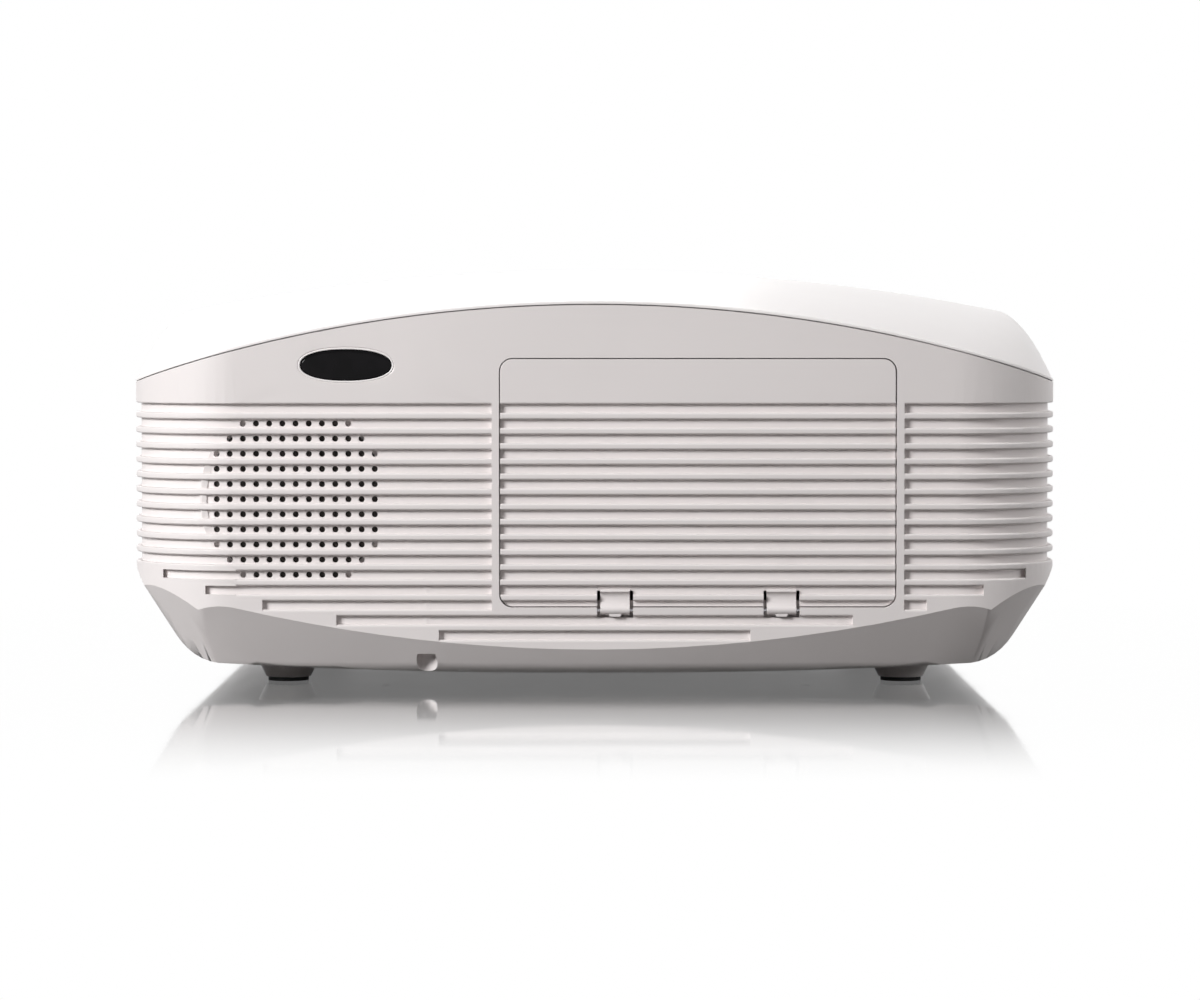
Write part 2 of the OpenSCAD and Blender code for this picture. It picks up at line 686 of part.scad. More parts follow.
// the window's outline: an oval with full ends
module oval_2d(w, h) {
    translate([window_x, window_z]) polygon([for (i = [0 : 47])
        let (a = 360 * (i + 0.5) / 48, e = 2 / window_power)
        [w / 2 * sign(cos(a)) * pow(abs(cos(a)), e), h / 2 * sign(sin(a)) * pow(abs(sin(a)), e)]]);
}
module ir_window() {
    color("#0a0a0a") {
        upright(-half_d + 0.3, -inner_y) oval_2d(window_w, window_h);
        upright(-inner_y, -inner_y + 1.2) translate([window_x, window_z]) rounded(window_w + 4, window_h - 0.6 + 2, 4);
    }
}
module ir_receiver_board() {
    color("seagreen") upright(-inner_y + 5.5, -inner_y + 7) translate([window_x, window_z - 1]) square([30, 13], center = true);
    color("#181818") upright(-inner_y + 1.5, -inner_y + 5.5) translate([window_x, window_z]) square([7, 6], center = true);
}

// ---- keypad ----

module keypad_panel() {
    color("#cfcdca") difference() {
        union() {
            translate([0, key_y, key_top - key_t]) linear_extrude(key_t) rounded(key_w, key_d, 2);
            translate([0, key_y, key_top - key_t - key_flange_t]) linear_extrude(key_flange_t)
                rounded(key_w + 2 * key_flange, key_d + 2 * key_flange, 3);
        }
        translate([0, key_y, key_top - key_t - key_flange_t - 1]) linear_extrude(key_flange_t + 1)
            square([key_w - 1, key_d - 2], center = true);
        for (i = [0 : 6]) translate([key_x(i), key_y, 0]) cylinder(r = button_d / 2 + seat_gap, h = 200);
        translate([-key_w / 2 + 4, key_y + 8, 0]) cylinder(r = 1.25, h = 200);
    }
}
function key_x(i) = (i - 3) * button_pitch;
module key_button(i) {
    color("#8a8a88") translate([key_x(i), key_y, key_top - key_t - seat_gap]) {
        cylinder(r = button_d / 2, h = key_t + seat_gap + 1.1);
        translate([0, 0, -1.2]) cylinder(r = button_d / 2 + 1.2, h = 1.2);
    }
}
module keypad_board() {
    color("seagreen") translate([0, key_y, key_top - key_t - key_flange_t - seat_gap - 1.6])
        linear_extrude(1.6) square([key_w + 2, key_d + 2], center = true);
}
module status_led() {
    color("lime") translate([-key_w / 2 + 4, key_y + 8, key_top - key_t - key_flange_t - seat_gap])
        cylinder(r = 1.2, h = key_t + key_flange_t + seat_gap);
}

// ---- disc drive ----

module drive_chassis() {
    w = chassis_wide;
    in_x = w / 2 - chassis_t;
    color("#9a9c9e") difference() {
        translate([drive_x, chassis_y, chassis_z]) difference() {
            union() {
                box(-w / 2, w / 2, 0, chassis_len, 0, chassis_t);
                for (sx = [-1, 1]) {
                    box(min(sx * w / 2, sx * in_x), max(sx * w / 2, sx * in_x), 0, chassis_len, 0, chassis_h);
                    box(min(sx * (w / 2 - 0.5), sx * (in_x - rail_in)), max(sx * (w / 2 - 0.5), sx * (in_x - rail_in)),
                        0, chassis_len, rail_z - chassis_z, rail_z - chassis_z + rail_h);
                    box(min(sx * (w / 2 - 0.5), sx * (in_x - rail_in + 1)), max(sx * (w / 2 - 0.5), sx * (in_x - rail_in + 1)),
                        0, chassis_len, guide_z - chassis_z, guide_z - chassis_z + 1.6);
                }
                box(-w / 2, w / 2, chassis_len - chassis_t, chassis_len, 0, chassis_h);
            }
            // window under the sled
            box(-16, 16, rail_y0 - chassis_y, rail_y1 - chassis_y, -1, chassis_t + 1);
            for (sx = [-1, 1], y = [8, chassis_len - 8]) translate([sx * (w / 2 - 6), y, -1]) cylinder(r = 1.6, h = 5);
        }
        translate([gear_x, gear_y, 0]) cylinder(r = 1.5, h = 200);
    }
    // gear post
    color("#9a9c9e") translate([gear_x, gear_y, chassis_z]) cylinder(r = 1.5, h = tray_z - seat_gap - chassis_z);
}
module drive_top_plate() {
    color("silver") difference() {
        translate([drive_x, chassis_y + chassis_len / 2, top_plate_z]) linear_extrude(1)
            rounded(chassis_wide, chassis_len, 3);
        translate([drive_x, disc_y, top_plate_z - 1]) cylinder(r = clamp_hole_r, h = 3);
        for (sx = [-1, 1]) translate([drive_x + sx * 45, disc_y + 66, top_plate_z - 1]) linear_extrude(3) rounded(26, 12, 4);
    }
}
module drive_fascia() {
    color("#3a3a3c") difference() {
        upright(fascia_y, fascia_y + fascia_t) translate([drive_x, chassis_z + chassis_h / 2 + 1])
            rounded(chassis_wide - 1, chassis_h + 2, 2);
        upright(fascia_y - 1, fascia_y + fascia_t + 1)
            translate([drive_x, tray_z + tray_h / 2 - 1.6]) square([tray_w + 1.2, tray_h + 7], center = true);
    }
}
module tray_front_panel() {
    color("#2c2c2e") upright(tray_front_y, tray_front_y + front_panel_t)
        translate([drive_x, front_panel_z + front_panel_h / 2]) rounded(tray_w + 4, front_panel_h, 1.5);
}
function rack_teeth() = floor((tray_l - 16) / rack_pitch);
module rack() {
    w = rack_pitch / 2 - backlash;
    a = gear_m;
    tan20 = tan(20);
    // the middle tooth gap stands opposite the gear's first tooth
    first = gear_y - rack_pitch * floor((gear_y - tray_front_y - front_panel_t - 12) / rack_pitch) + rack_pitch / 2;
    translate([0, 0, gear_z]) linear_extrude(rack_h + tray_t - 0.5) {
        for (i = [0 : rack_teeth() - 1]) translate([rack_x, first + i * rack_pitch])
            polygon([[-a, -w/2 + a*tan20], [-a, w/2 - a*tan20], [a*1.3, w/2 + a*1.3*tan20], [a*1.3, -w/2 - a*1.3*tan20]]);
        translate([rack_x + a * 1.2, first - rack_pitch]) square([3, rack_pitch * (rack_teeth() + 1)]);
    }
}
module disc_tray() {
    y0 = tray_front_y + front_panel_t;
    color("#3a3a3c") difference() {
        union() {
            translate([drive_x, y0 + tray_l / 2, tray_z]) linear_extrude(tray_h) rounded(tray_w, tray_l, 3);
            rack();
        }
        // disc well in two steps
        translate([drive_x, disc_y, tray_z + tray_h - 2.2]) cylinder(r = disc_d / 2 + 1, h = 5);
        translate([drive_x, disc_y, tray_z + tray_t]) cylinder(r = 41, h = 5);
        // the spindle and the sled show through a slot that is open to the back
        translate([drive_x, disc_y, tray_z - 10]) cylinder(r = slot_r, h = 30);
        box(drive_x - slot_r, drive_x + slot_r, disc_y, tray_back + 1, tray_z - 10, tray_z + 20);
        // relief behind the disc
        for (sx = [-1, 1]) translate([drive_x + sx * 42, tray_back - 12, tray_z + tray_t])
            linear_extrude(10) rounded(36, 12, 3);
    }
}
module spindle_motor() {
    color("silver") translate([drive_x, disc_y, 0]) {
        difference() {
            translate([0, 0, deck_z + seat_gap]) cylinder(r = 12.5, h = 8);
            translate([0, 0, deck_z + 1]) cylinder(r = 1 + run_gap, h = 20);
        }
        translate([0, 0, deck_z + seat_gap]) linear_extrude(1) difference() {
            rounded(34, motor_plate, 3);
            circle(5);
        }
    }
}
module turntable() {
    color("#202022") translate([drive_x, disc_y, 0]) {
        translate([0, 0, turntable_z - 1.6]) difference() {
            cylinder(r = spindle_r, h = 1.6);
            translate([0, 0, 1.2]) difference() { cylinder(r = 12, h = 1); cylinder(r = 8.6, h = 1); }
        }
        translate([0, 0, turntable_z - eps]) cylinder(r1 = 7.4, r2 = 6.4, h = 2.2);
        translate([0, 0, deck_z + 1.5]) cylinder(r = 1, h = turntable_z - deck_z - 1.6);
    }
}
module disc_clamp() {
    color("#d8d8d6") translate([drive_x, disc_y, 0]) {
        translate([0, 0, top_plate_z - 5.6]) difference() {
            cylinder(r = 12.5, h = 2);
            translate([0, 0, -1]) cylinder(r = 8, h = 2);
        }
        translate([0, 0, top_plate_z - 3.7]) cylinder(r = clamp_neck_r, h = 5.2);
        translate([0, 0, top_plate_z + 1 + seat_gap]) cylinder(r = 14, h = 1.2);
    }
}
module pickup_sled() {
    color("#4a4c50") difference() {
        box(drive_x - 22, drive_x + 22, sled_y - sled_l / 2, sled_y + sled_l / 2, sled_z, sled_z + 7);
        for (sx = [-1, 1]) translate([drive_x + sx * rail_off, 0, sled_z + 2.6])
            rod_y(1.5 + run_gap, sled_y - sled_l, sled_y + sled_l);
        translate([screw_x, 0, sled_z + 2.6]) rod_y(1.5 + 0.35, sled_y - sled_l, sled_y + sled_l);
        box(drive_x - 12, drive_x + 6, sled_y - 8, sled_y + 8, sled_z + 4, sled_z + 10);
    }
}
module pickup_lens() {
    color("#c2a15a") translate([drive_x - 3, sled_y, sled_z + 4]) {
        difference() {
            translate([0, 0, 2]) cube([14, 12, 4], center = true);
            translate([0, 0, 1]) cylinder(r = 2.5, h = 5);
        }
        translate([0, 0, 2]) cylinder(r = 2.5, h = 2.6);
    }
}
module sled_rails() {
    color("silver") for (sx = [-1, 1]) translate([drive_x + sx * rail_off, 0, sled_z + 2.6])
        rod_y(1.5, rail_y0 - holder_t, rail_y1);
    color("dimgray") for (y = [rail_y0 - holder_t, rail_y1 - holder_t]) difference() {
        box(drive_x - 22, drive_x + 22, y, y + holder_t, deck_z + seat_gap, sled_z + 6);
        translate([screw_x, 0, sled_z + 2.6]) rod_y(1.5 + run_gap, y - 1, y + holder_t + 1);
    }
}
module lead_screw() {
    color("goldenrod") translate([screw_x, 0, sled_z + 2.6]) rod_y(1.5, rail_y0 - holder_t, rail_y1 + 2);
}
module sled_motor() {
    color("silver") translate([screw_x, 0, sled_z + 2.6]) difference() {
        rod_y(6, rail_y1 + seat_gap, rail_y1 + sled_motor_l);
        rod_y(1.5 + run_gap, rail_y1 - 1, rail_y1 + 3);
    }
}
// half of an involute tooth of the loading gear, from root to tip
function involute(r, a) = r * [cos(a) + a * PI / 180 * sin(a), sin(a) - a * PI / 180 * cos(a)];
function turned(p, w) = [p[0] * cos(w) - p[1] * sin(w), p[0] * sin(w) + p[1] * cos(w)];
module gear_2d() {
    base_r = gear_pitch_r * cos(20);
    tip_r = gear_pitch_r + gear_m;
    root_r = gear_pitch_r - 1.25 * gear_m;
    roll = sqrt(tip_r * tip_r / (base_r * base_r) - 1) * 180 / PI;
    pitch_roll = tan(20) * 180 / PI;
    inv20 = pitch_roll - 20;
    half_tooth = 90 / gear_teeth - backlash / 2 / gear_pitch_r * 180 / PI;
    start = half_tooth + inv20;
    flank = [for (i = [0 : 5]) turned(involute(base_r, -roll * i / 5), start)];
    mirrored = [for (i = [5 : -1 : 0]) [flank[i][0], -flank[i][1]]];
    circle(root_r);
    for (i = [0 : gear_teeth - 1]) rotate(i * 360 / gear_teeth)
        polygon(concat([[root_r - 1, sin(start) * (root_r - 1)]], flank, mirrored, [[root_r - 1, -sin(start) * (root_r - 1)]]));
}
module loader_gear() {
    color("#e8e4d8") translate([gear_x, gear_y, 0]) difference() {
        union() {
            translate([0, 0, gear_z + seat_gap]) linear_extrude(gear_h - 2 * seat_gap) gear_2d();
            translate([0, 0, pulley_z]) cylinder(r = big_pulley_r - 1.6, h = gear_z - pulley_z + 1);
            for (z = [pulley_z, pulley_z + 3.2]) translate([0, 0, z]) cylinder(r = big_pulley_r + 1, h = 1);
        }
        cylinder(r = 1.5 + run_gap, h = 200);
    }
}
module loader_belt() {
    r1 = big_pulley_r - 1.6 + 0.15;
    r2 = small_pulley_r - 1 + 0.15;
    color("#1c1c1c") translate([gear_x, gear_y, pulley_z + 1.3]) linear_extrude(1.6) difference() {
        belt_2d(r1 + belt_t, r2 + belt_t);
        belt_2d(r1, r2);
    }
}
// outline round both pulleys, with arcs of radius ra and rb and straight runs that touch both
module belt_2d(ra, rb) {
    d = gear_x - motor_px;
    w = 180 - acos((ra - rb) / d);
    big = [for (i = [-12 : 12]) ra * [cos(w * i / 12), sin(w * i / 12)]];
    small = [for (i = [-6 : 6]) let (a = 180 + (180 - w) * i / 6) [rb * cos(a) - d, rb * sin(a)]];
    polygon(concat(big, small));
}
module motor_pulley() {
    color("#e8e4d8") translate([motor_px, gear_y, 0]) difference() {
        union() {
            translate([0, 0, pulley_z]) cylinder(r = small_pulley_r - 1, h = 4.2);
            for (z = [pulley_z, pulley_z + 3.2]) translate([0, 0, z]) cylinder(r = small_pulley_r + 0.6, h = 1);
        }
        translate([0, 0, pulley_z - 1]) cylinder(r = 0.75 + run_gap, h = 7);
    }
}
module loader_motor() {
    color("silver") translate([motor_px, gear_y, 0]) {
        translate([0, 0, pulley_z + 5.2]) difference() {
            cylinder(r = 8, h = rail_z - pulley_z - 6);
            cylinder(r = 2, h = 0.6);
        }
        translate([0, 0, pulley_z + 0.6]) cylinder(r = 0.75, h = 5.2);
    }
    color("dimgray") for (sx = [-1, 1])
        box(motor_px + sx * 9.5 - 1.5, motor_px + sx * 9.5 + 1.5, gear_y - 9.5, gear_y - 5.5, deck_z + seat_gap, pulley_z + 8);
    color("dimgray") box(motor_px - 11, motor_px + 11, gear_y - 9.5, gear_y - 7, pulley_z + 7.8, pulley_z + 10);
}

// ---- optics ----

module at_lens() { translate([lens_x, 0, lens_z]) children(); }
module optical_tunnel() {
    color("#2b2b2d") at_lens() difference() {
        upright(tunnel_y, tunnel_y + tunnel_l) rounded(tunnel_w, tunnel_h, 2);
        upright(tunnel_y - 1, tunnel_y + tunnel_l + 1) rounded(tunnel_w - 2 * tunnel_t, tunnel_h - 2 * tunnel_t, 1);
        // slots that hold the lenses and the panel
        for (y = [34, 46, 54, 62]) upright(tunnel_y + y, tunnel_y + y + 2.6)
            square([tunnel_w - tunnel_t, tunnel_h - tunnel_t], center = true);
    }
}
module slot_plate(y, t) {
    at_lens() upright(tunnel_y + y + seat_gap, tunnel_y + y + seat_gap + t)
        square([tunnel_w - tunnel_t - 0.6, tunnel_h - tunnel_t - 0.6], center = true);
}
module fresnel_lenses() { color("lightcyan") { slot_plate(46, 2); slot_plate(62, 2); } }
module lcd_panel() { color("midnightblue") slot_plate(54, 2); }
module condenser_lens() {
    color("lightcyan") at_lens() {
        upright(tunnel_y + 34.3, tunnel_y + 36.3) square([tunnel_w - tunnel_t - 0.6, tunnel_h - tunnel_t - 0.6], center = true);
        difference() {
            translate([0, tunnel_y + 34.3 + 20, 0]) sphere(r = 34);
            translate([-50, tunnel_y + 34.4, -50]) cube(100);
        }
    }
}
module led_module() {
    color("#f2f2e8") at_lens() {
        upright(led_y, led_y + 2) square([40, 40], center = true);
        difference() {
            upright(led_y + 1.9, tunnel_y - seat_gap) rounded(tunnel_w - 10, tunnel_h - 10, 3);
            upright(led_y + 1, tunnel_y + 1) circle(25);
        }
    }
    color("yellow") at_lens() intersection() {
        translate([0, led_y - 2, 0]) sphere(r = 9);
        upright(led_y + 1.9, led_y + 12) square([30, 30], center = true);
    }
}
module heatsink() {
    color("silver") {
        fin_pitch = (sink_w - fin_t) / (fin_count - 1);
        translate([lens_x - sink_w / 2, 0, 0]) {
            box(0, sink_w, led_y - seat_gap - sink_base, led_y - seat_gap, sink_z, sink_z + sink_h);
            for (i = [0 : fin_count - 1]) box(i * fin_pitch, i * fin_pitch + fin_t,
                sink_y, led_y - seat_gap - sink_base + 1, sink_z, sink_z + sink_h);
        }
    }
}
module lens_mount() {
    color("#2b2b2d") at_lens() difference() {
        union() {
            upright(mount_y, mount_y + mount_t) rounded(tunnel_w - 4, 80, 4);
            rod_y(barrel_d / 2 + 3, mount_y, mount_y + mount_tube);
        }
        rod_y(barrel_d / 2 + run_gap, mount_y - 1, mount_y + 40);
    }
}
module lens_barrel() {
    color("#18181a") at_lens() difference() {
        rod_y(barrel_d / 2, barrel_back, barrel_back + barrel_l);
        rod_y(barrel_d / 2 - 3, barrel_back - 1, barrel_back + barrel_l - 4);
        rod_y(barrel_d / 2 - 4.5, barrel_back, barrel_back + barrel_l + 1);
    }
}
module lens_glass() {
    // meniscus at the front and a plain element at the back
    color("lightblue") at_lens() {
        difference() {
            rod_y(barrel_d / 2 - 3, barrel_back + barrel_l - 12, barrel_back + barrel_l - 4);
            translate([0, barrel_back + barrel_l - 12 - 50, 0]) sphere(r = 54, $fn = 96);
        }
        rod_y(barrel_d / 2 - 3, barrel_back + 2, barrel_back + 6);
    }
}
module focus_ring() {
    color("#101012") at_lens() difference() {
        rod_y(focus_d / 2, mount_y + mount_tube + move_gap, half_d - 1);
        rod_y(barrel_d / 2 + run_gap, mount_y + 30, half_d + 10);
        for (i = [0 : 35]) rotate([0, i * 10, 0]) translate([focus_d / 2 + 0.5, 0, 0])
            rod_y(1.3, mount_y + mount_tube + 4, half_d + 1, $fn = 16);
    }
}
module lens_bezel() {
    color("#6f7073") at_lens() difference() {
        union() {
            rod_y(bezel_d / 2 - 3, bezel_in, half_d + hinge_proud);
            rod_y(bezel_d / 2, half_d, half_d + hinge_proud);
        }
        rod_y(focus_d / 2 + 1.5, bezel_in - 1, half_d + 5);
        translate([0, half_d + hinge_proud + eps, 0]) rotate([90, 0, 0])
            cylinder(r1 = bezel_d / 2 - 4.6, r2 = focus_d / 2 + 1.5, h = 5);
    }
}

// ---- fan and speaker ----

module fan_frame() {
    color("#1d1d1f") translate([fan_x, fan_y, fan_z]) difference() {
        union() {
            difference() {
                sideways(0, fan_t) rounded(fan_side, fan_side, 4);
                rod_x(rotor_r + 1.5, -1, fan_t + 1);
            }
            rod_x(12, 0, 2.5);
            for (w = [45 : 90 : 315]) rotate([w, 0, 0]) box(0.4, 2, 10, rotor_r + 4, -1.8, 1.8);
        }
        for (sy = [-1, 1], sz = [-1, 1]) translate([0, sy * (fan_side / 2 - 5), sz * (fan_side / 2 - 5)]) rod_x(2, -1, fan_t + 1);
        rod_x(1.5 + run_gap, -1, 5);
    }
}
module fan_rotor() {
    color("#2a2a2c") translate([fan_x, fan_y, fan_z]) {
        rod_x(12, 3, fan_t - 1);
        rod_x(1.5, 0.6, 4);
        for (i = [0 : fan_blades - 1]) rotate([i * 360 / fan_blades, 0, 0])
            translate([fan_t / 2 + 1, 0, 0]) rotate([0, 0, 38]) box(-0.8, 0.8, -6.6, 6.6, 9, rotor_r - 0.6);
    }
}
module speaker_frame() {
    color("#3c3c3e") translate([speaker_x, speaker_y, speaker_z]) {
        difference() {
            rod_y(speaker_d / 2, 0, 2.5);
            rod_y(speaker_d / 2 - 6, -1, 4);
        }
        difference() {
            translate([0, 2.4, 0]) rotate([-90, 0, 0]) cylinder(r1 = speaker_d / 2 - 2, r2 = 16, h = 13);
            translate([0, 2.3, 0]) rotate([-90, 0, 0]) cylinder(r1 = speaker_d / 2 - 4, r2 = 14, h = 13.2);
            for (w = [0 : 60 : 300]) rotate([0, w, 0]) box(18, 40, 4, 13, -6, 6);
        }
        difference() {
            rod_y(18, 15.2, speaker_h);
            rod_y(9, 15, speaker_h - 3);
        }
    }
}
module speaker_cone() {
    color("#57534e") translate([speaker_x, speaker_y, speaker_z]) difference() {
        union() {
            translate([0, 1.2, 0]) rotate([-90, 0, 0]) cylinder(r1 = speaker_d / 2 - 6.5, r2 = 8.4, h = 12);
            rod_y(8.4, 13, 19);
        }
        translate([0, 0.2, 0]) rotate([-90, 0, 0]) cylinder(r1 = speaker_d / 2 - 6.5, r2 = 7, h = 12);
    }
}

// ---- boards, sockets and switch ----

board_x0 = drive_x - 65.5;
board_x1 = inner_x - 3;
board_y0 = port_y - 68;
board_y1 = port_y + 56;
psu_x1 = half_w - 30;
psu_x0 = psu_x1 - 90;
psu_y1 = half_d - 19.5;
psu_y0 = psu_y1 - 60;
psu_z = 24;
module main_board() {
    color("darkgreen") difference() {
        box(board_x0, board_x1, board_y0, board_y1, board_z, board_z + board_t);
        // notches, open to the nearer edge, where a drive post would meet the board
        for (p = DRIVE_POSTS) linear_extrude(3 * board_z) {
            edge = p[1] > port_y ? board_y1 + 1 : board_y0 - 1;
            translate([p[0], p[1]]) circle(drive_post_r + 0.5);
            translate([p[0] - drive_post_r - 0.5, min(edge, p[1])]) square([2 * drive_post_r + 1, abs(edge - p[1])]);
        }
    }
    color("#1a1a1a") {
        chip(48, 80, port_y - 24, port_y + 8, 3.4);
        chip(92, 106, port_y - 14, port_y, 3);
        chip(92, 106, port_y + 8, port_y + 22, 3);
    }
    color("silver") chip(52, 76, port_y + 30, port_y + 54, 12);
}
// a part on the main board, from the board's left edge
module chip(x0, x1, y0, y1, h) {
    box(board_x0 + x0, board_x0 + x1, y0, y1, board_z + board_t - eps, board_z + h);
}
module power_board() {
    color("peru") box(psu_x0, psu_x1, psu_y0, psu_y1, psu_z, psu_z + 1.6);
    color("#222222") {
        box(psu_x0 + 30, psu_x0 + 56, psu_y0 + 20, psu_y0 + 44, psu_z + 1.5, psu_z + 26);
        for (x = [12, 24]) translate([psu_x0 + x, psu_y0 + 16, psu_z + 1.5]) cylinder(r = 5, h = 20);
        translate([psu_x0 + 74, psu_y0 + 30, psu_z + 1.5]) cylinder(r = 9, h = 26);
    }
    color("silver") box(psu_x0 + 14, psu_x0 + 18, psu_y0 + 28, psu_y0 + 54, psu_z + 1.5, psu_z + 24);
}
module port_panel() {
    color("#5a5a5c") sideways(port_face - port_t, port_face) difference() {
        translate([port_y, port_z]) square([port_l, port_h], center = true);
        for (s = SOCKETS) translate([port_y + s[0], port_z + s[3]])
            square([s[1] + 0.6, s[2] + 0.6], center = true);
    }
}
module side_sockets() {
    color("silver") for (s = SOCKETS) difference() {
        union() {
            sideways(port_face - 15, port_face - 0.4) translate([port_y + s[0], port_z + s[3]])
                square([s[1], s[2]], center = true);
            // legs down to the board
            box(port_face - 15, port_face - 6, port_y + s[0] - 2.5, port_y + s[0] + 2.5,
                board_z + board_t, port_z + s[3] - s[2] / 2 + 1);
        }
        sideways(port_face - 12, half_w) translate([port_y + s[0], port_z + s[3]])
            square([s[1] - 1.2, s[2] - 1.2], center = true);
    }
}
module power_inlet() {
    color("#161618") difference() {
        union() {
            box(port_face - port_t, port_face, power_y0, power_y1, port_z - port_h / 2, port_z + port_h / 2);
            sideways(port_face - 20, port_face - port_t + eps) translate([inlet_y, port_z])
                square([inlet_w, inlet_h], center = true);
            sideways(port_face - 11, port_face - port_t + eps) translate([switch_y, port_z])
                square([switch_w + 4, switch_h + 4], center = true);
        }
        sideways(port_face - 17, half_w) translate([inlet_y, port_z])
            square([inlet_w - 3.4, inlet_h - 4], center = true);
        sideways(port_face - 9, half_w) translate([switch_y, port_z])
            square([switch_w + 0.7, switch_h + 1], center = true);
        translate([switch_x, switch_y, port_z])
            rod_y(switch_pin_r + run_gap, -switch_w / 2 - 1.6, switch_w / 2 + 1.6);
    }
    color("silver") for (p = [[-7, -2], [0, 2], [7, -2]])
        box(port_face - 18, port_face - 8, inlet_y + p[0] - 1, inlet_y + p[0] + 1, port_z + p[1] - 2, port_z + p[1] + 2);
}
module power_switch() {
    color("#161618") translate([switch_x, switch_y, port_z]) {
        difference() {
            union() {
                sideways(-2.6, 2.6) square([switch_w, switch_h - 1], center = true);
                rod_y(3.4, -switch_w / 2, switch_w / 2);
            }
            // the face slopes both ways from the pivot
            for (sz = [-1, 1]) translate([0, -switch_w, 0]) mirror([0, 0, sz > 0 ? 0 : 1])
                rotate([-90, -90, 0]) linear_extrude(2 * switch_w)
                    polygon([[1, 3.4], [switch_h, 3.4], [switch_h, 1.6]]);
        }
        rod_y(switch_pin_r, -switch_w / 2 - 1.4, switch_w / 2 + 1.4);
    }
}

lower_housing();
top_cover();
disc_door();
door_hinge_pins();
ir_window();
ir_receiver_board();
rear_foot_pads();
front_foot(-1);  // front_foot_left
front_foot(1);  // front_foot_right
front_pad(-1);  // front_pad_left
front_pad(1);  // front_pad_right
housing_screws();
keypad_panel();
keypad_board();
status_led();
key_button(0);  // power_button
key_button(1);  // source_button
key_button(2);  // menu_button
key_button(3);  // ok_button
key_button(4);  // play_button
key_button(5);  // stop_button
key_button(6);  // eject_button
drive_chassis();
drive_top_plate();
drive_fascia();
disc_tray();
tray_front_panel();
spindle_motor();
turntable();
disc_clamp();
pickup_sled();
pickup_lens();
sled_rails();
lead_screw();
sled_motor();
loader_gear();
loader_motor();
motor_pulley();
loader_belt();
optical_tunnel();
heatsink();
led_module();
condenser_lens();
fresnel_lenses();
lcd_panel();
lens_mount();
lens_bezel();
lens_barrel();
lens_glass();
focus_ring();
fan_frame();
fan_rotor();
speaker_frame();
speaker_cone();
main_board();
power_board();
port_panel();
side_sockets();
power_inlet();
power_switch();
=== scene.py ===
"""Looks of a table-top projector whose disc drive opens at the back.

The sizes in the classes are millimetres in the part's own frame: +X is to the right seen
from behind, +Y points to the lens, +Z is up, and the origin lies on the table.
"""

import sys
import json
import logging
import math
from collections.abc import Callable, Iterable, Sequence
from dataclasses import dataclass
from enum import Enum

import bmesh
import bpy
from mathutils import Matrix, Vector


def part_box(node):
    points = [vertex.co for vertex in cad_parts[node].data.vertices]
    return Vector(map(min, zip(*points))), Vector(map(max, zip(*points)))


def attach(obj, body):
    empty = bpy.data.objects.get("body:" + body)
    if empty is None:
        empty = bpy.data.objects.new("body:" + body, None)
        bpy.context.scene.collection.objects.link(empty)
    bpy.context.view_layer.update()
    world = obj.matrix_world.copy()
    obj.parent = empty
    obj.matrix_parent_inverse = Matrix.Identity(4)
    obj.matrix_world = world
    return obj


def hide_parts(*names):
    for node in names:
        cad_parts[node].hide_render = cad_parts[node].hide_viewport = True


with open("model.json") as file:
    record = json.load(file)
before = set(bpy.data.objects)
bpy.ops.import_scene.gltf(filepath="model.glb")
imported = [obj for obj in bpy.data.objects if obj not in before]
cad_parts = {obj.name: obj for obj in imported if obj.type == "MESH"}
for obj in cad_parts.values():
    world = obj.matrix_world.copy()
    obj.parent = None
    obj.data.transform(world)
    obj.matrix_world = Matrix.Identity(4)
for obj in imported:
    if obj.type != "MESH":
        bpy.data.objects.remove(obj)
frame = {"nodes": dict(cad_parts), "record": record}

LOG = logging.getLogger("projector")
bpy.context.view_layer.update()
# Metres between points that are merged, millimetres between places that count as one, and
# the angle under which two faces count as flat.
MERGE = 1e-6
TOUCH = 0.01
COPLANAR = math.radians(0.3)
Point = tuple[float, float, float]
Flat = tuple[float, float]
Colour = tuple[float, float, float]


def mm(*lengths: float) -> Vector:
    """Millimetres as a vector in metres."""
    return Vector(lengths) / 1000


def srgb(red: int, green: int, blue: int) -> Colour:
    """A colour given as 8-bit screen values, in linear light."""
    shares = [value / 255 for value in (red, green, blue)]
    return tuple(s / 12.92 if s <= 0.04045 else ((s + 0.055) / 1.055) ** 2.4 for s in shares)


def arc(centre: Flat, radius: float, start: float, end: float, steps: int) -> list[Flat]:
    """Points along an arc.

    Args:
        centre: Middle of the arc.
        radius: Its radius.
        start: Angle of the first point, in degrees.
        end: Angle of the last point, in degrees.
        steps: Number of stretches between the points.

    Returns:
        The points, both ends included.
    """
    angles = [math.radians(start + (end - start) * i / steps) for i in range(steps + 1)]
    return [(centre[0] + radius * math.cos(a), centre[1] + radius * math.sin(a)) for a in angles]


# ---- shader graphs ----


